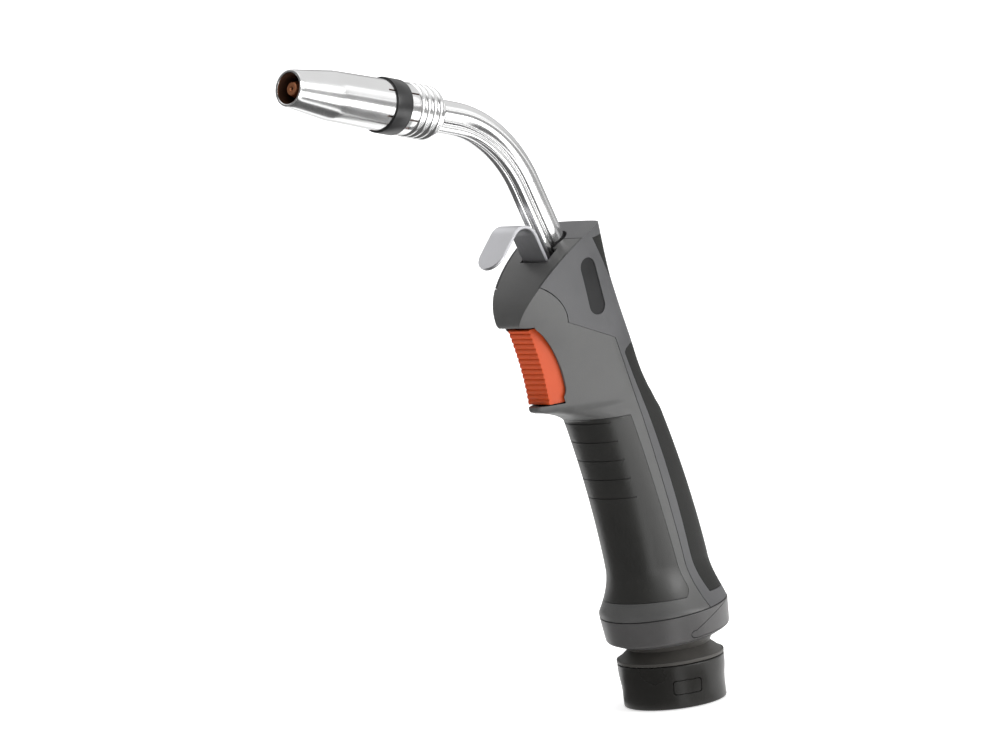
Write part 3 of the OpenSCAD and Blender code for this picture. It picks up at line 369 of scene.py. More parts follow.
SEAM_RUN = 10            # length by which the seam's cut runs past the handle's base
ARC_REACH = 33.4         # reach of the seam's arc on the hood, forward of the handle's axis
ARC_LEN = 15.5           # length of the arc, front to back
ARC_H = 17.3             # height of the arc
seam_top = z_nose - 0.3 * TRIGGER_LEN


def seam_x(z):
    """x of the seam along the grip."""
    t = (z - base_z) / (seam_top - base_z)
    return float(axis_x(z)) + lerp(0.5, -1.2, t) + SEAM_BOW * max(0, math.sin(math.pi * t)) ** 1.5


def seam_line(gap):
    """The seam between the shells, moved towards the front shell by gap."""
    rise = [(seam_x(z) + gap, z) for z in np.linspace(base_z - SEAM_RUN, seam_top, 24)]
    arc_x = float(axis_x(z_nose)) + ARC_REACH + gap
    arc = [(arc_x - ARC_LEN * math.cos(a) ** 1.6, z_nose + (ARC_H - gap) * math.sin(a))
           for a in np.radians(np.linspace(0, 88, 30))]
    return rise + arc + [(FAR, z_nose + ARC_H - gap), (FAR, base_z - SEAM_RUN)]


PAD_MARGIN = 5.5         # height of the grips' lower ends above the handle's base
HEAD_PAD_LOW = 31        # depth of the head pad's lower end below the crest
HEAD_PAD_TOP = 5.2       # depth of its upper end
front_pad_low = base_z + PAD_MARGIN
front_pad_top = z_lip - 1.5
rear_pad_low = base_z + PAD_MARGIN
rear_pad_top = z_trig + 0.58 * TRIGGER_LEN


def front_edge(z):
    """x of the front grip's bowed edge, which turns forward at its lower end."""
    corner = 4 * max(0, 1 - (z - front_pad_low) / 5) ** 2
    t = (z - base_z) / GRIP_LEN
    return float(axis_x(z)) + lerp(3.9, 6.2, t) + 1.2 * math.sin(math.pi * t) + corner


def rear_edge(z):
    """x of the rear grip's edge, which turns back at both ends."""
    low = 2 * max(0, 1 - (z - rear_pad_low) / 20) ** 1.5
    return float(axis_x(z)) - 3.4 - low - 6 * max(0, 1 - (rear_pad_top - z) / 3.5) ** 2


def front_pad_line(gap):
    zs = lerp(front_pad_low + gap, front_pad_top - gap, np.linspace(0, 1, 60) ** 1.2)
    edge = [(front_edge(z) + gap, z) for z in zs]
    return edge + [(FAR, front_pad_top + 2 - gap), (FAR, front_pad_low + gap)]


def rear_pad_line(gap):
    zs = lerp(rear_pad_low + gap, rear_pad_top - gap, np.linspace(0, 1, 60) ** 0.8)
    edge = [(rear_edge(z) - gap, z) for z in zs]
    return edge + [(-FAR, rear_pad_top - gap), (-FAR, rear_pad_low + gap)]


def head_pad_line(gap):
    side = [(6.4, -HEAD_PAD_TOP - 0.5), (2.2, -14.3), (-1.8, -22.3), (-8, -28.8), (-16, -HEAD_PAD_LOW)]
    return [crest + [x - gap, z] for x, z in side] + [
        (-FAR, z_top - HEAD_PAD_LOW + gap), (-FAR, z_top - HEAD_PAD_TOP - gap),
        crest + [0, -HEAD_PAD_TOP - gap]]


# ---- frames of the parts ----
# The ball's centre, the neck's foot in the head and the end of the neck's bend, each with its
# local Z along the piece that it carries
at_ball = placed((0, 0, BALL_Z), BASE_LEAN)
foot_z = z_nose + 8.5
foot_x = float(axis_x(foot_z)) - 6.6
at_foot = placed((foot_x, 0, foot_z), NECK_LEAN)
at_nozzle = at_foot @ placed((0, 0, NECK_STRAIGHT), (NECK_BEND_R, 0, 0), NECK_BEND,
                             (-NECK_BEND_R + SEAT_SHIFT, 0, 0))

# ---- the handle's solids ----
ANGLES = np.radians(np.linspace(0, 360, 256, endpoint=False))
LEVELS = np.linspace(base_z - 5, z_top + 0.5, 190)
NECK_ROOM = 1.3          # gap round the neck tube where it leaves the handle
COOLANT_ROOM = 1.1       # gap beside the coolant tubes
COOLANT_AHEAD = 1.2      # gap in front of them
HOOK_ROOM = 0.7          # gap beside the hook
HOOK_AHEAD = 1           # gap in front of it
PANEL_RIM = 0.8          # thickness of the rear shell's rim round the hood's front
PAD_GAP = 0.2            # gap round the inlays
SEAM_GAP = 0.17          # half the gap along the seam
BADGE_LEN = 24.5
BADGE_R = 4.25           # radius of the badge's round ends
BADGE_UP = 13            # height of the badge's middle above the nose
BADGE_LEAN = 10
BADGE_GAP = 0.1          # gap round the badge
BADGE_SINK = 0.35        # depth of the badge's face below the shell's surface
BADGE_BACK = 1.25        # depth of its back
GROOVES = 5              # grooves across the front grip
GROOVE_FIRST = 3.5       # depth of the first one below the lip
GROOVE_PITCH = 8.3
GROOVE_W = 0.6
GROOVE_DEPTH = 0.3
GROOVE_BACK = 15.0       # where the grooves end, before the handle's axis


def form(name, inset=0.0, low=None, high=None):
    """The handle's outer form, drawn in by inset, between two heights."""
    zs = [z for z in LEVELS if (low is None or z >= low) and (high is None or z <= high)]
    return make(name, *loft([section(z, ANGLES, inset) for z in zs]))


def badge_solid(grow):
    """The badge's outline, larger by grow, through the whole head."""
    z = z_nose + BADGE_UP
    radius = BADGE_R + grow
    half = BADGE_LEN / 2 - BADGE_R
    outline = [(radius * math.cos(a), side * half + radius * math.sin(a))
               for side, start in ((1, 0), (-1, 180))
               for a in np.radians(np.linspace(start, start + 180, 33))]
    obj = plate("badge_cut", outline)
    obj.data.transform(placed((float(axis_x(z)), 0, z), BADGE_LEAN))
    return obj


def handle_blank():
    """Both shells in one, hollow, with the ways for the neck, its coolant tubes and the hook."""
    blank = form("blank")
    combine(blank, plate("side", side_outline), "INTERSECT")
    combine(blank, box_solid("low", (-FAR, -FAR, -FAR), (FAR, FAR, SEAM_S), at_ball), "DIFFERENCE")
    cavity = form("cavity", WALL)
    combine(cavity, plate("side", cavity_outline()), "INTERSECT")
    combine(blank, cavity, "DIFFERENCE")
    combine(blank, rod("way", NECK_R + NECK_ROOM, 0, FAR, at_foot), "DIFFERENCE")
    for back, front, half in (
            (0, COOLANT_OFF + COOLANT_R + COOLANT_AHEAD, COOLANT_Y + COOLANT_R + COOLANT_ROOM),
            (COOLANT_OFF, HOOK_OFF + HOOK_T / 2 + HOOK_AHEAD, HOOK_W / 2 + HOOK_ROOM)):
        combine(blank, box_solid("way", (back, -half, 0), (front, half, FAR), at_foot), "DIFFERENCE")
    return blank


def recess(shell, line, low, high):
    """Cuts the recess of an inlay into a shell."""
    cutter = plate("recess", line)
    combine(cutter, form("core", PAD_T, low, high), "DIFFERENCE")
    combine(shell, cutter, "DIFFERENCE")


def inlay(name, line, low, high):
    """The skin of the handle inside a line, as thick as a soft inlay."""
    pad = form(name, 0, low, high)
    combine(pad, plate("line", line), "INTERSECT")
    combine(pad, form("core", PAD_T, low - 2, high + 2), "DIFFERENCE")
    return pad


def front_part(gap):
    """What the front shell takes of the handle: all before the seam, and the hood's front up to the neck."""
    panel = form("panel", PANEL_RIM + gap, z_nose - 1)
    combine(panel, box_solid("ahead", (gap, -FAR, -FAR), (FAR, FAR, FAR), at_foot), "INTERSECT")
    combine(panel, plate("under", cavity_outline(gap)), "DIFFERENCE")
    return combine(plate("seam", seam_line(gap)), panel, "UNION")


blank = handle_blank()
front_shell = combine(copy_of(blank, "look_front_shell"), front_part(SEAM_GAP), "INTERSECT")
rear_shell = combine(blank, front_part(-SEAM_GAP), "DIFFERENCE")
rear_shell.name = "look_rear_shell"
front_span = (front_pad_low - 3, front_pad_top + 4)
rear_span = (rear_pad_low - 3, rear_pad_top + 4)
head_span = (z_top - HEAD_PAD_LOW - 3, z_top + 1)
recess(front_shell, front_pad_line(0), *front_span)
recess(rear_shell, rear_pad_line(0), *rear_span)
recess(rear_shell, head_pad_line(0), *head_span)
combine(front_shell, plate("window", window_line), "DIFFERENCE")
slot_half = TRIGGER_W / 2 + TRIGGER_GAP + FLARE_W
slot_low = (face_x(0.5) - SLOT_DEPTH, -slot_half, z_trig)
slot_high = (FAR, slot_half, z_nose + HOOD_GAP)
combine(front_shell, box_solid("slot", slot_low, slot_high), "DIFFERENCE")

front_grip = inlay("look_front_grip", front_pad_line(PAD_GAP), *front_span)
groove_core = form("groove_core", GROOVE_DEPTH, front_pad_low, z_lip)
for i in range(GROOVES):
    groove_z = z_lip - GROOVE_FIRST - GROOVE_PITCH * i
    groove = box_solid("groove", (float(axis_x(groove_z)) + GROOVE_BACK, -FAR, groove_z - GROOVE_W / 2),
                       (FAR, FAR, groove_z + GROOVE_W / 2))
    combine(front_grip, combine(groove, groove_core, "DIFFERENCE", keep=True), "DIFFERENCE")
bpy.data.objects.remove(groove_core)
rear_grip = inlay("look_rear_grip", rear_pad_line(PAD_GAP), *rear_span)
head_pad = inlay("look_head_pad", head_pad_line(PAD_GAP), *head_span)
combine(head_pad, plate("side", side_outline), "INTERSECT")

badge_low, badge_high = z_nose - 4, z_top - 6
badge_cut = badge_solid(0)
combine(badge_cut, form("core", BADGE_BACK, badge_low, badge_high), "DIFFERENCE")
combine(rear_shell, badge_cut, "DIFFERENCE")
badge = form("look_badge", BADGE_SINK, badge_low, badge_high)
combine(badge, badge_solid(-BADGE_GAP), "INTERSECT")
combine(badge, form("core", BADGE_BACK, badge_low - 1, badge_high + 1), "DIFFERENCE")


# ---- trigger ----
RIBS = 15                # ribs on the trigger's face
RIB_DEPTH = 0.6
TRIGGER_BODY = 9         # depth of the trigger's body behind its face
TOE_CHAMFER = 1.2        # amount by which the toe's lower edge is cut back
PIN_DEPTH = 8            # depth of the trigger's pin behind its face
PIN_BOSS_R = 2.2         # radius of the boss round the pin
SPRING_POCKET_R = 2.7    # radius of the pocket for the return spring
SPRING_POCKET = 5.4      # depth of the pocket
SPRING_UP = 3.2          # height of the pocket's axis above the trigger's lower end


def ribbed_face(t):
    """x of the trigger's ribbed face."""
    return face_x(t) - RIB_DEPTH * (1 - abs(math.sin(math.pi * RIBS * t)) ** 0.6)


def make_trigger():
    """The trigger's side outline, cut to a plan whose sides spread behind the face."""
    outline = []
    for t in np.linspace(0, 0.97, 240):
        chamfer = TOE_CHAMFER if t == 0 else 0
        outline.append((ribbed_face(t) - chamfer, trigger_z(t) + TRIGGER_GAP * (1 - t)))
    top = z_nose - TRIGGER_GAP
    pin_x = face_x(1) - PIN_DEPTH
    back = face_x(0.2) - TRIGGER_BODY
    outline += [(face_x(1) - 1, top), (pin_x - PIN_BOSS_R, top), (pin_x - 2.6, z_nose - 5),
                (face_x(0.7) - TRIGGER_BODY, trigger_z(0.7)), (back, trigger_z(0.2)),
                (back, z_trig + 1.4), (back + 1, z_trig + TRIGGER_GAP)]
    body = plate("look_trigger", outline, 12)
    lean = math.degrees(math.atan((face_x(1) - face_x(0.2)) / (0.8 * TRIGGER_LEN)))
    half = TRIGGER_W / 2
    left = [(30, half), (-FLARE_FROM, half), (-FLARE_TO, half + FLARE_W), (-30, half + FLARE_W)]
    plan = left + [(x, -y) for x, y in reversed(left)]
    bottom, roof = ([(x, y, h) for x, y in plan] for h in (-60, 60))
    sides = prism("sides", bottom, roof, placed((face_x(0.5), 0, trigger_z(0.5)), lean))
    combine(body, sides, "INTERSECT")
    pocket_at = placed((face_x(0.1) - 10, 0, z_trig + SPRING_UP), 90)
    return combine(body, rod("pocket", SPRING_POCKET_R, 0, SPRING_POCKET, pocket_at, 48), "DIFFERENCE")


trigger = make_trigger()

# ---- neck ----
TUBE_STEPS = 56          # points round a tube
BEND_STEPS = 72          # steps along the bend


def tube(name, radius, off, y, reach):
    """A closed tube along the neck: a straight foot, the bend and a straight end of length reach."""
    bend_r = NECK_BEND_R - off
    path = [(off, -TUBE_SEAT, 0.0), (off, NECK_STRAIGHT, 0.0)]
    for i in range(1, BEND_STEPS + 1):
        turn = math.radians(NECK_BEND) * i / BEND_STEPS
        path.append((NECK_BEND_R - bend_r * math.cos(turn), NECK_STRAIGHT + bend_r * math.sin(turn), turn))
    x, s, turn = path[-1]
    path.append((x + reach * math.sin(turn), s + reach * math.cos(turn), turn))
    rings = []
    for x, s, turn in path:
        rings.append([(x + radius * math.cos(a) * math.cos(turn), y + radius * math.sin(a),
                       s - radius * math.cos(a) * math.sin(turn))
                      for a in np.linspace(0, 2 * math.pi, TUBE_STEPS, endpoint=False)])
    return make(name, *loft(rings), at_foot)


nozzle_back = NOZZLE_REACH - NOZZLE_LEN
seat_back = nozzle_back - SEAT_LEN
ribs_back = seat_back + SEAT_CONE
flange_front = nozzle_back - FREE_GAP
rib_pitch = (flange_front - ribs_back) / SEAT_RIBS
core_front = nozzle_back + CORE_LEN
tube_reach = seat_back + 6       # the tubes end inside the seat
neck_tube = tube("look_neck_tube", NECK_R, 0, 0, tube_reach)
coolant_left = tube("look_coolant_left", COOLANT_R, COOLANT_OFF, COOLANT_Y, tube_reach)
coolant_right = tube("look_coolant_right", COOLANT_R, COOLANT_OFF, -COOLANT_Y, tube_reach)

# ---- nozzle end ----
SEAT_BORE_R = 5.2
TIP_LEN = 28.0
TIP_FRONT = NOZZLE_REACH - 1.8
TIP_BACK = TIP_FRONT - TIP_LEN
TIP_R = 4.0
TIP_SHANK_R = 3
WIRE_R = 0.6             # radius of the bore for the welding wire


def make_seat():
    """The ribbed seat behind the nozzle, with its core inside the nozzle."""
    outer = [(SEAT_TAIL_R - 0.3, seat_back), (SEAT_TAIL_R, seat_back + 0.2), (SEAT_R, ribs_back)]
    for i in range(SEAT_RIBS):
        start = ribs_back + i * rib_pitch
        for u in np.linspace(0, 1, 15):
            bulge = (RIB_R - SEAT_R + 0.1) * math.sin(math.pi * u) ** 0.5
            outer.append((SEAT_R + bulge, start + rib_pitch * (0.2 + 0.78 * u)))
    outer += [(SEAT_R - 0.1, flange_front), (CORE_R, flange_front), (CORE_R, core_front)]
    return lathe("look_seat", outer + [(SEAT_BORE_R, core_front), (SEAT_BORE_R, seat_back)], at_nozzle)


def make_nozzle():
    """The gas nozzle, with rounded mouth and rear edges and slots in its rear end."""
    reach = NOZZLE_REACH
    shoulder = reach - CONE_LEN
    outer = [(MOUTH_BORE_R, reach - 0.5), (MOUTH_BORE_R + 0.15, reach - 0.15), (MOUTH_BORE_R + 0.4, reach),
             (MOUTH_R - 0.35, reach), (MOUTH_R - 0.1, reach - 0.12), (MOUTH_R, reach - 0.4)]
    outer += [(lerp(MOUTH_R, SHOULDER_R, u), reach - CONE_LEN * u) for u in np.linspace(0.1, 0.98, 12)]
    outer += [(lerp(SHOULDER_R, NOZZLE_REAR_R, u), shoulder - (NOZZLE_LEN - CONE_LEN) * u)
              for u in np.linspace(0.01, 0.985, 16)]
    outer += [(NOZZLE_REAR_R - 0.1, nozzle_back + 0.15), (NOZZLE_REAR_R - 0.4, nozzle_back)]
    bore = CORE_R + 0.08
    inner = [(bore, nozzle_back), (bore, shoulder - 6), (SHOULDER_R - 1.6, shoulder - 2),
             (MOUTH_BORE_R, reach - 4)]
    shell = lathe("look_nozzle", outer + inner, at_nozzle, 192)
    for i in range(SLOT_COUNT):
        turn = at_nozzle @ Matrix.Rotation(2 * math.pi * i / SLOT_COUNT, 4, "Z")
        low, high = (4, -SLOT_W / 2, nozzle_back - 1), (20, SLOT_W / 2, reach - SLOT_FROM)
        combine(shell, box_solid("slot", low, high, turn), "DIFFERENCE")
    return shell


def band_profile():
    """Section of the insulating band, with rounded edges."""
    front = NOZZLE_REACH - BAND_FRONT
    back = front - BAND_W
    low = NOZZLE_REAR_R - 0.5
    return [(low, front), (BAND_R - 0.35, front), (BAND_R - 0.1, front - 0.1), (BAND_R, front - 0.4),
            (BAND_R, back + 0.4), (BAND_R - 0.1, back + 0.1), (BAND_R - 0.35, back), (low, back)]


seat = make_seat()
nozzle = make_nozzle()
band = lathe("look_band", band_profile(), at_nozzle, 192)
tip_profile = [(WIRE_R, TIP_BACK), (TIP_SHANK_R, TIP_BACK), (TIP_R, TIP_BACK + 3), (TIP_R, TIP_FRONT - 5.2),
               (TIP_R - 0.1, TIP_FRONT - 4.8), (TIP_R - 1.3, TIP_FRONT - 0.3), (TIP_R - 1.6, TIP_FRONT),
               (WIRE_R + 0.4, TIP_FRONT), (WIRE_R, TIP_FRONT - 0.5)]
tip = lathe("look_tip", tip_profile, at_nozzle, 96)

# ---- hook ----
HOOK_BEND_R = 7.8        # radius of the bend, at the middle of the strip
HOOK_TURN = 112.0        # angle of the bend
HOOK_TONGUE = 17.4       # length of the tongue
HOOK_LEG_LOW = 9.0       # lower end of the leg, above the neck's foot
HOOK_LEG_TOP = 36.4      # upper end of the leg
HOOK_EDGE = 0.35         # bevel of the strip's edges


def make_hook():
    """A strip: a leg, a round bend and a tongue with a round end."""
    half = HOOK_W / 2
    straight = HOOK_TONGUE - half
    end = np.radians(np.linspace(6, 87, 16))
    line = [(HOOK_OFF, HOOK_LEG_LOW, 0.0)]
    line += [(HOOK_OFF + HOOK_BEND_R * (1 - math.cos(a)), HOOK_LEG_TOP + HOOK_BEND_R * math.sin(a), a)
             for a in np.radians(np.linspace(0, HOOK_TURN, 40))]
    x, s, turn = line[-1]
    lengths = [straight * i / 6 for i in range(1, 7)] + [straight + half * math.sin(a) for a in end]
    line += [(x + d * math.sin(turn), s + d * math.cos(turn), turn) for d in lengths]
    widths = [half] * (len(line) - len(end)) + [half * math.cos(a) for a in end]
    t = HOOK_T / 2
    edge = HOOK_EDGE
    rings = []
    for (x, s, turn), w in zip(line, widths):
        across = [(t, w - edge), (t - edge, w), (edge - t, w), (-t, w - edge),
                  (-t, edge - w), (edge - t, -w), (t - edge, -w), (t, edge - w)]
        rings.append([(x + u * math.cos(turn), v, s - u * math.sin(turn)) for u, v in across])
    return make("look_hook", *loft(rings), at_foot)


hook = make_hook()

# ---- knuckle, lock ring and collar ----
COLLAR_H = 18.4
COLLAR_R = 22.8          # radius of the collar at its upper edge
COLLAR_STEP = 0.9        # amount by which its lower part is narrower
COLLAR_BORE_R = 15.6     # radius of the bore above the collar's floor
COLLAR_FLOOR = 7.6       # thickness of the floor
INLET_R = 13.2           # radius of the hole in the floor
BALL_R = 20.0
BALL_RISE = 15.3         # height of the ball's centre above the knuckle's lower edge
BALL_TOP = 9.5           # flat top of the ball, above its centre
FLARE_EDGE = 1.8         # height of the rim of the knuckle's flare
SLEEVE_R = 15.5          # radius of the knuckle's sleeve in the collar
SLEEVE_LEN = 8
PASSAGE_R = 12.0         # radius of the passage through the knuckle
RING_BORE_R = 20.4
RING_LIP_R = 22.2        # radius of the ring's lower lip
RING_CREASE = 0.4        # gap between the ring and the shells
TAIL_GAP = 0.14          # half the gap between the ring and its tail
flare_s = -BALL_R * math.sqrt(1 - 0.87 ** 2)     # where the ball runs into the knuckle's flare
corner_s = SEAM_S - RING_H                       # lock ring's lower corner
lip_s = corner_s - 2.1                           # lock ring's lower lip


def fillet(corner, before, after, radius, steps=6):
    """Points that round a corner of a profile."""
    c, a, b = (np.array(p, float) for p in (corner, before, after))
    u, v = (a - c) / np.linalg.norm(a - c), (b - c) / np.linalg.norm(b - c)
    p, q = c + u * radius, c + v * radius
    return [tuple((1 - t) ** 2 * p + 2 * t * (1 - t) * c + t * t * q) for t in np.linspace(0, 1, steps)]


def round_profile(points, radius):
    """A closed profile with its corners rounded, each by its own radius."""
    n = len(points)
    out = []
    for i, (point, r) in enumerate(zip(points, radius)):
        out += fillet(point, points[i - 1], points[(i + 1) % n], r) if r else [point]
    return out


def dense(profile, step):
    """The profile with its long edges divided into lengths of about step."""
    out = []
    for (r, s), (r_next, s_next) in zip(profile, profile[1:] + profile[:1]):
        parts = max(1, round(math.hypot(r_next - r, s_next - s) / step))
        out += [(lerp(r, r_next, i / parts), lerp(s, s_next, i / parts)) for i in range(parts)]
    return out


collar_low = COLLAR_R - COLLAR_STEP
collar_profile = round_profile(
    [(INLET_R, 0), (collar_low, 0), (collar_low, 0.47 * COLLAR_H), (COLLAR_R, 0.75 * COLLAR_H),
     (COLLAR_R, COLLAR_H), (COLLAR_BORE_R, COLLAR_H), (COLLAR_BORE_R, COLLAR_FLOOR), (INLET_R, COLLAR_FLOOR)],
    [0, 0.6, 3, 3, 0.6, 0.3, 0, 0])
collar = lathe("look_collar", dense(collar_profile, 1.0), placed(), 192)
rim_r = COLLAR_R + 0.1
sleeve_low = -BALL_RISE - SLEEVE_LEN
flare_profile = round_profile(
    [(PASSAGE_R, sleeve_low), (SLEEVE_R, sleeve_low), (SLEEVE_R, -BALL_RISE), (rim_r, -BALL_RISE),
     (rim_r, FLARE_EDGE - BALL_RISE)], [0, 0, 0, 0.5, 0.7])
ball_arc = [(BALL_R * math.cos(a), BALL_R * math.sin(a))
            for a in np.linspace(math.asin(flare_s / BALL_R), math.asin(BALL_TOP / BALL_R), 48)]
knuckle = lathe("look_knuckle", flare_profile + ball_arc + [(PASSAGE_R, BALL_TOP)],
                placed((0, 0, BALL_Z)), 192)


def ring_blank(name):
    """The lock ring and its tail in one."""
    low = RING_R - RING_TAPER
    top = SEAM_S - RING_CREASE
    outer = round_profile([(RING_BORE_R, lip_s), (RING_LIP_R, lip_s), (low, corner_s), (RING_R, top),
                           (RING_BORE_R, top)], [0, 0.5, 1.0, 0.35, 0])
    return lathe(name, outer, at_ball, 256)


def tail_outline(gap):
    """Side outline of the ring's tail, which slopes down from the rear to a round tip, smaller by gap."""
    tail_low = corner_s + 0.4
    upper = [(-FAR, SEAM_S + 5), (-0.74 * RING_R, SEAM_S + 5), (-0.57 * RING_R, SEAM_S - gap)]
    slope = [(lerp(-0.57, 0.33, u) * RING_R, SEAM_S - gap - RING_H * (0.4 * u + 0.3 * u ** 3))
             for u in np.linspace(0.05, 1, 14)]
    tip_x, tip_z = 0.33 * RING_R, tail_low + 0.148 * RING_H
    end = [(tip_x + (2.2 - gap) * math.sin(a), tip_z + (0.145 * RING_H - gap) * math.cos(a))
           for a in np.radians(np.linspace(15, 180, 10))]
    return upper + slope + end + [(-FAR, tail_low + gap)]


def tail_cut(gap):
    cutter = plate("tail", tail_outline(gap))
    cutter.data.transform(at_ball)
    return cutter


lock_ring = combine(ring_blank("look_lock_ring"), tail_cut(-TAIL_GAP), "DIFFERENCE")
ring_tail = combine(ring_blank("look_ring_tail"), tail_cut(TAIL_GAP), "INTERSECT")
LATCH_ANGLE = 59.0       # where the latch sits on the collar
LATCH_Z = 9.0            # height of its middle
LATCH_W = 12.0
LATCH_H = 5.6
LATCH_CORNER = 1.2       # radius of its corners
LATCH_GAP = 0.3


def latch_cut(width, height):
    """A rounded rectangle through the collar's wall at the latch."""
    side, rise = width / 2 - LATCH_CORNER, height / 2 - LATCH_CORNER
    outline = []
    for sx, sz, start in ((1, 1, 0), (-1, 1, 90), (-1, -1, 180), (1, -1, 270)):
        outline += [(sx * side + LATCH_CORNER * math.cos(a), sz * rise + LATCH_CORNER * math.sin(a))
                    for a in np.radians(np.linspace(start, start + 90, 7))]
    inner, outer = ([(r, y, LATCH_Z + z) for y, z in outline] for r in (19, 30))
    return prism("latch_cut", inner, outer, Matrix.Rotation(math.radians(LATCH_ANGLE), 4, "Z"))


latch = combine(copy_of(collar, "look_latch"), latch_cut(LATCH_W, LATCH_H), "INTERSECT")
combine(collar, latch_cut(LATCH_W + 2 * LATCH_GAP, LATCH_H + 2 * LATCH_GAP), "DIFFERENCE")


# ---- materials ----
CLOUD_SCALE = 60         # scale of the soft variation, in repeats per metre
GRAIN_HEIGHT = 0.0002    # bump distance of the grain, in metres
NOISE_SPAN = (0.15, 0.85)    # part of the noise's range that is used


def material(name, colour, rough, metallic=0.0, vary=0.12, grain=0.0, grain_size=0.4, rough_vary=0.08,
             specular=0.5):
    """A procedural surface: colour and roughness that vary softly, and a fine moulded or turned grain."""
    mat = bpy.data.materials.new(name)
    mat.use_nodes = True
    nodes, links = mat.node_tree.nodes, mat.node_tree.links
    shader = nodes["Principled BSDF"]
    shader.inputs["Metallic"].default_value = metallic
    shader.inputs["Specular IOR Level"].default_value = specular
    place = nodes.new("ShaderNodeTexCoord")
    cloud = nodes.new("ShaderNodeTexNoise")
    cloud.inputs["Scale"].default_value = CLOUD_SCALE
    cloud.inputs["Detail"].default_value = 4
    links.new(place.outputs["Object"], cloud.inputs["Vector"])
    ramp = nodes.new("ShaderNodeValToRGB")
    ramp.color_ramp.interpolation = "EASE"
    dark, light = ramp.color_ramp.elements
    dark.position, light.position = NOISE_SPAN
    dark.color = (*[c * (1 - vary) for c in colour], 1)
    light.color = (*[min(1, c * (1 + vary)) for c in colour], 1)
    links.new(cloud.outputs["Fac"], ramp.inputs["Fac"])
    links.new(ramp.outputs["Color"], shader.inputs["Base Color"])
    spread = nodes.new("ShaderNodeMapRange")
    spread.interpolation_type = "SMOOTHSTEP"
    spread.inputs["From Min"].default_value, spread.inputs["From Max"].default_value = NOISE_SPAN
    spread.inputs["To Min"].default_value = max(0.02, rough - rough_vary)
    spread.inputs["To Max"].default_value = rough + rough_vary
    links.new(cloud.outputs["Fac"], spread.inputs["Value"])
    links.new(spread.outputs["Result"], shader.inputs["Roughness"])
    if grain:
        fine = nodes.new("ShaderNodeTexNoise")
        fine.inputs["Scale"].default_value = 1000 / grain_size
        fine.inputs["Detail"].default_value = 2
        links.new(place.outputs["Object"], fine.inputs["Vector"])
        bump = nodes.new("ShaderNodeBump")
        bump.inputs["Strength"].default_value = grain
        bump.inputs["Distance"].default_value = GRAIN_HEIGHT
        links.new(fine.outputs["Fac"], bump.inputs["Height"])
        links.new(bump.outputs["Normal"], shader.inputs["Normal"])
    return mat


def glowing(mat, strength):
    """Adds plain white light to a material."""
    shader = mat.node_tree.nodes["Principled BSDF"]
    shader.inputs["Emission Color"].default_value = (1, 1, 1, 1)
    shader.inputs["Emission Strength"].default_value = strength
    return mat


HARD = {"grain": 0.22, "grain_size": 0.5}                         # moulded shells and ring
SOFT = {"grain": 0.3, "grain_size": 0.35, "rough_vary": 0.03}     # soft inlays
FOOT = {"grain": 0.15, "grain_size": 0.6, "specular": 0.35}       # collar and knuckle
# The front and rear shells are one grey plastic. These two greys differ only in brightness, which is set for
# how light falls on each shell: painted light and shade.
shell_grey = material("shell_grey", (0.07, 0.07, 0.073), 0.42, **HARD)
front_grey_painted_light = material("front_grey_painted_light", (0.076, 0.076, 0.075), 0.42, **HARD)
ring_grey = material("ring_grey", (0.072, 0.07, 0.07), 0.4, **HARD)
soft_black = material("soft_black", (0.019, 0.0188, 0.017), 0.36, specular=0.6, **SOFT)
# A darker copy of the soft inlays' black for the rear grip and head pad: painted shade for how light falls on
# the rear pads.
rear_black_painted_shade = material("rear_black_painted_shade", (0.013, 0.013, 0.012), 0.5, specular=0.2, **SOFT)
collar_black = material("collar_black", (0.0165, 0.0158, 0.0142), 0.32, **FOOT)
knuckle_black = material("knuckle_black", (0.058, 0.055, 0.05), 0.45, **FOOT)
badge_black = material("badge_black", (0.011, 0.011, 0.0115), 0.4, grain=0.08, specular=0.25)
orange = material("orange", (0.5, 0.062, 0.01), 0.42, vary=0.06, grain=0.15, grain_size=0.5, specular=0.35)
chrome = material("chrome", (0.8, 0.8, 0.8), 0.18, metallic=1.0, vary=0.03, rough_vary=0.03)
zinc = material("zinc", (0.58, 0.58, 0.6), 0.46, metallic=1.0, vary=0.08, grain=0.08, grain_size=0.8)
steel = material("steel", (0.5, 0.5, 0.5), 0.3, metallic=1.0)
brass = material("brass", (0.62, 0.42, 0.16), 0.3, metallic=1.0)
copper = material("copper", (0.62, 0.26, 0.13), 0.45, metallic=1.0, vary=0.25, rough_vary=0.12)
# Copper darkened to dark brown for the nozzle's bore: painted shade inside the bore.
bore_copper_painted_shade = material("bore_copper_painted_shade", (0.13, 0.06, 0.035), 0.55, metallic=0.7, vary=0.6, rough_vary=0.15)
band_black_look = material("band_black_look", (0.012, 0.012, 0.0125), 0.36, grain=0.1)
dark_plastic = material("dark_plastic", (0.03, 0.03, 0.03), 0.5, grain=0.2)
pale_plastic = material("pale_plastic", (0.55, 0.52, 0.46), 0.4)
red_plastic = material("red_plastic", (0.32, 0.03, 0.025), 0.4)
brown_fibre = material("brown_fibre", (0.17, 0.075, 0.035), 0.6, vary=0.25)


def dress(obj, mat, body, slot, *nodes, angle=30):
    """Shades a piece, gives it its material, says what it rides on and hides the CAD nodes that it stands
    for. The slot is not used.
    """
    obj.data.materials.clear()
    obj.data.materials.append(mat)
    smooth(obj, angle)
    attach(obj, body)
    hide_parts(*nodes)


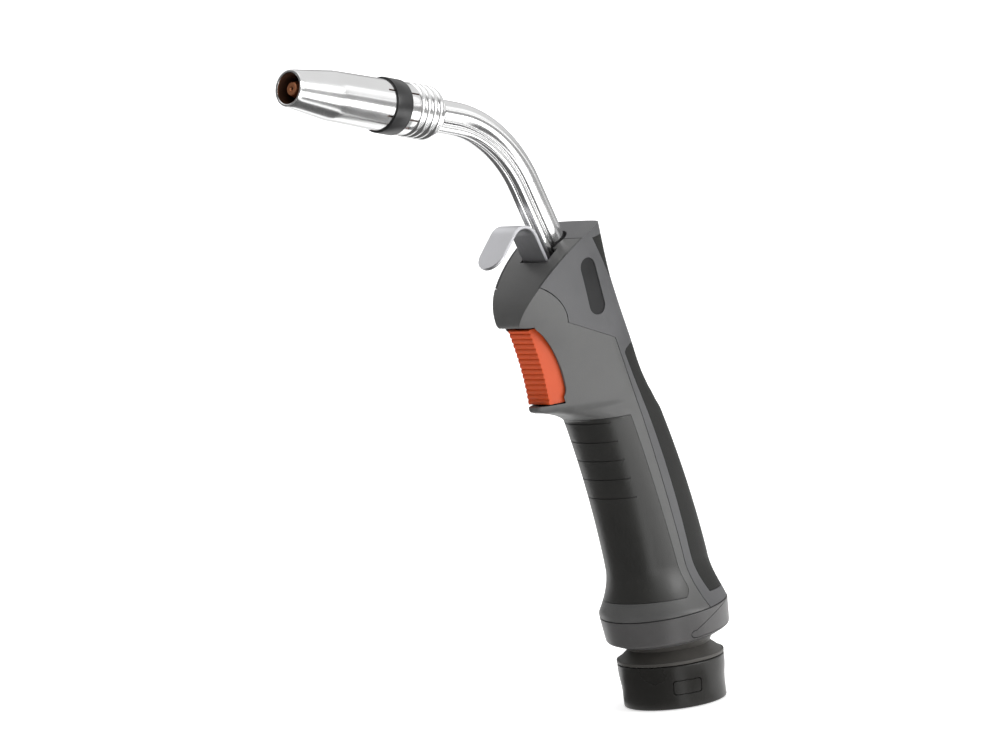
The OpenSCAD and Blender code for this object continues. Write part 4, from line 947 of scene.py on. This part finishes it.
for obj in (front_shell, rear_shell, front_grip, rear_grip, head_pad, badge):
    rounded(obj, 0.22)
dress(front_shell, front_grey_painted_light, "handle", "front_shell", "front_shell", angle=40)
dress(rear_shell, shell_grey, "handle", "rear_shell", "rear_shell", angle=40)
dress(front_grip, soft_black, "handle", "soft_grip", "front_grip", angle=40)
dress(rear_grip, rear_black_painted_shade, "handle", "soft_grip", "rear_grip", angle=40)
dress(head_pad, rear_black_painted_shade, "handle", "soft_grip", "head_pad", angle=40)
dress(badge, badge_black, "handle", "badge_plate", "badge_plates", angle=40)
dress(trigger, orange, "trigger", "trigger_orange", "trigger")
rounded(trigger, 0.2)
dress(neck_tube, chrome, "handle", "neck_chrome", "neck_tube")
dress(coolant_left, chrome, "handle", "neck_chrome", "coolant_tube_left")
dress(coolant_right, chrome, "handle", "neck_chrome", "coolant_tube_right")
dress(seat, chrome, "handle", "seat_chrome", "nozzle_seat")
dress(nozzle, chrome, "nozzle", "nozzle_chrome", "gas_nozzle")
dress(band, band_black_look, "nozzle", "band_black", "nozzle_band")
dress(tip, copper, "handle", "tip_copper", "contact_tip")
dress(hook, zinc, "handle", "hook_zinc", "hanger_hook")
dress(collar, collar_black, "collar", "collar_plastic", "cable_collar")
dress(latch, collar_black, "latch", "collar_plastic", "collar_latch")
dress(knuckle, knuckle_black, "knuckle", "knuckle_plastic", "knuckle_ball")
dress(lock_ring, ring_grey, "handle", "ring_plastic", "lock_ring")
dress(ring_tail, ring_grey, "handle", "tail_plastic", "ring_tail")

# The nozzle's bore is copper darkened with painted shade, from just inside its mouth
nozzle.data.materials.append(bore_copper_painted_shade)
axis_at = at_nozzle.translation
axis_along = (at_nozzle.to_3x3() @ Vector((0, 0, 1))).normalized()
for face in nozzle.data.polygons:
    offset = face.center - axis_at
    height = offset.dot(axis_along)
    radial = offset - axis_along * height
    if radial.dot(face.normal) < 0 and height < (NOZZLE_REACH - 0.6) * MM:
        face.material_index = 1

# The inner solids are shown as they are, with a finish of their own
KEPT = {
    "cable_bush": dark_plastic, "swivel_clip": steel, "ball_liner": pale_plastic, "ball_cup": dark_plastic,
    "shell_screws": steel, "trigger_pin": steel, "trigger_spring": steel, "switch_carrier": dark_plastic,
    "switch_body": dark_plastic, "switch_plunger": red_plastic, "switch_lever": steel,
    "switch_leads": red_plastic,
    "neck_clamp": dark_plastic, "neck_block": brass, "wire_liner": brown_fibre, "power_stud": brass,
    "coolant_barbs": brass, "seat_rings": brown_fibre, "nozzle_insulator": brown_fibre, "tip_holder": brass,
    "gas_diffuser": pale_plastic}
for name, mat in KEPT.items():
    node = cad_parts[name]
    node.data.materials.clear()
    node.data.materials.append(mat)

# ---- floor, light and camera ----
FLOOR_HALF = 40000
FLOOR_Z = -0.3
CARD_Z = -0.2
STUDIO_DIM = 0.2         # strength of the light from everywhere
HORIZON_GLOW = 1.0       # strength of the glow along the horizon, towards azimuth 115
FLOOR_GLOW = 0.5         # strength of the floor's own light
# Soft round panels of light: azimuth, elevation, radius, softness of the edge and strength
PANELS = [
    (180, 48, 42, 12, 0.65),
    (110, 18, 15, 6, 4.2),
    (0, 90, 30, 12, 1.3),
    (75, 25, 22, 10, 0.8),
    (142, 13, 11, 6, 0.9),
    (-95, 48, 27, 15, 0.6),
]


def add_floor():
    h = FLOOR_HALF
    floor = make("floor", [(x, y, FLOOR_Z) for x, y in ((-h, -h), (h, -h), (h, h), (-h, h))], [(0, 1, 2, 3)])
    floor.data.materials.append(glowing(material("floor_pale", (0.9, 0.9, 0.9), 0.7, vary=0.005), FLOOR_GLOW))


def add_card(name, azimuths, radii, shade, glow=0.0):
    """A grey card on the floor, part of a ring, that only shows in reflections."""
    turn = np.radians(np.linspace(*azimuths, 24))
    ring = [(r * math.cos(a), r * math.sin(a), CARD_Z) for r in radii for a in turn]
    n = len(turn)
    card = make(name, ring, [(i, i + 1, n + i + 1, n + i) for i in range(n - 1)])
    card.data.materials.append(glowing(material(name, (shade, shade, shade), 0.8, vary=0.02), glow))
    card.visible_camera = card.visible_diffuse = card.visible_shadow = False


def add_lamp(name, place, size, power, aim=(0.05, 0, 0.16)):
    """A rectangular lamp that faces the torch's middle."""
    lamp = bpy.data.lights.new(name, "AREA")
    lamp.shape = "RECTANGLE"
    lamp.size, lamp.size_y = size
    lamp.energy = power
    obj = bpy.data.objects.new(name, lamp)
    obj.location = place
    obj.rotation_mode = "QUATERNION"
    obj.rotation_quaternion = (Vector(aim) - Vector(place)).to_track_quat("-Z", "Y")
    bpy.context.scene.collection.objects.link(obj)


def add_world():
    """A dim studio with a glow along part of the horizon and the soft panels."""
    world = bpy.data.worlds.new("studio")
    bpy.context.scene.world = world
    world.use_nodes = True
    nodes, links = world.node_tree.nodes, world.node_tree.links
    place = nodes.new("ShaderNodeTexCoord").outputs["Generated"]

    def soft_step(value, low, high, strength):
        """From nothing at low to strength at high."""
        step = nodes.new("ShaderNodeMapRange")
        step.interpolation_type = "SMOOTHSTEP"
        step.inputs["From Min"].default_value, step.inputs["From Max"].default_value = low, high
        step.inputs["To Min"].default_value, step.inputs["To Max"].default_value = 0, strength
        links.new(value, step.inputs["Value"])
        return step.outputs["Result"]

    def facing(azimuth, elevation):
        """Cosine of the angle between the ray and a direction."""
        a, e = math.radians(azimuth), math.radians(elevation)
        dot = nodes.new("ShaderNodeVectorMath")
        dot.operation = "DOT_PRODUCT"
        dot.inputs[1].default_value = (math.cos(a) * math.cos(e), math.sin(a) * math.cos(e), math.sin(e))
        links.new(place, dot.inputs[0])
        return dot.outputs["Value"]

    glow = nodes.new("ShaderNodeMath")
    glow.operation = "MULTIPLY"
    links.new(soft_step(facing(0, 90), 0.09, 0.03, HORIZON_GLOW), glow.inputs[0])
    links.new(soft_step(facing(115, 0), 0.5, 0.8, 1), glow.inputs[1])
    lights = [glow.outputs["Value"]]
    for azimuth, elevation, radius, edge, strength in PANELS:
        lights.append(soft_step(facing(azimuth, elevation), math.cos(math.radians(radius + edge)),
                                math.cos(math.radians(radius - edge)), strength))
    total = None
    for light in lights:
        add = nodes.new("ShaderNodeMath")
        add.operation = "ADD"
        add.inputs[0].default_value = STUDIO_DIM
        if total:
            links.new(total, add.inputs[0])
        links.new(light, add.inputs[1])
        total = add.outputs["Value"]
    # The background itself is plain white from every side
    seen = nodes.new("ShaderNodeMath")
    seen.operation = "MAXIMUM"
    links.new(nodes.new("ShaderNodeLightPath").outputs["Is Camera Ray"], seen.inputs[0])
    links.new(total, seen.inputs[1])
    links.new(seen.outputs["Value"], nodes["Background"].inputs["Color"])


def add_camera():
    """The camera at azimuth 45, elevation 7, leaned a little about the line of sight."""
    data = bpy.data.cameras.new("camera")
    data.sensor_width, data.lens = 36, 169.4
    data.clip_start, data.clip_end = 0.1, 200
    camera = bpy.data.objects.new("camera", data)
    right = Vector((-0.69115, 0.71234, -0.12199))
    up = Vector((-0.17243, 0.00139, 0.98502))
    back = Vector((0.70184, 0.70184, 0.12187))
    camera.matrix_world = Matrix((right, up, back)).transposed().to_4x4()
    camera.location = (1.432119, 1.351338, 0.388790)
    bpy.context.scene.collection.objects.link(camera)
    bpy.context.scene.camera = camera


add_floor()
add_card("left_card", (-78, 48), (28, 9000), 0.1)
add_card("near_card", (66, 108), (28, 290), 0.12)
add_card("far_card", (95, 215), (750, 30000), 0.25)
add_card("rear_card", (222, 265), (230, 900), 0.8)
add_card("glow_card", (52, 135), (300, 740), 0.9, 2.4)
add_world()
add_lamp("side", (-0.3, 1.6, 0.9), (0.7, 0.9), 5)
add_camera()
bpy.context.scene.view_settings.view_transform = "Standard"
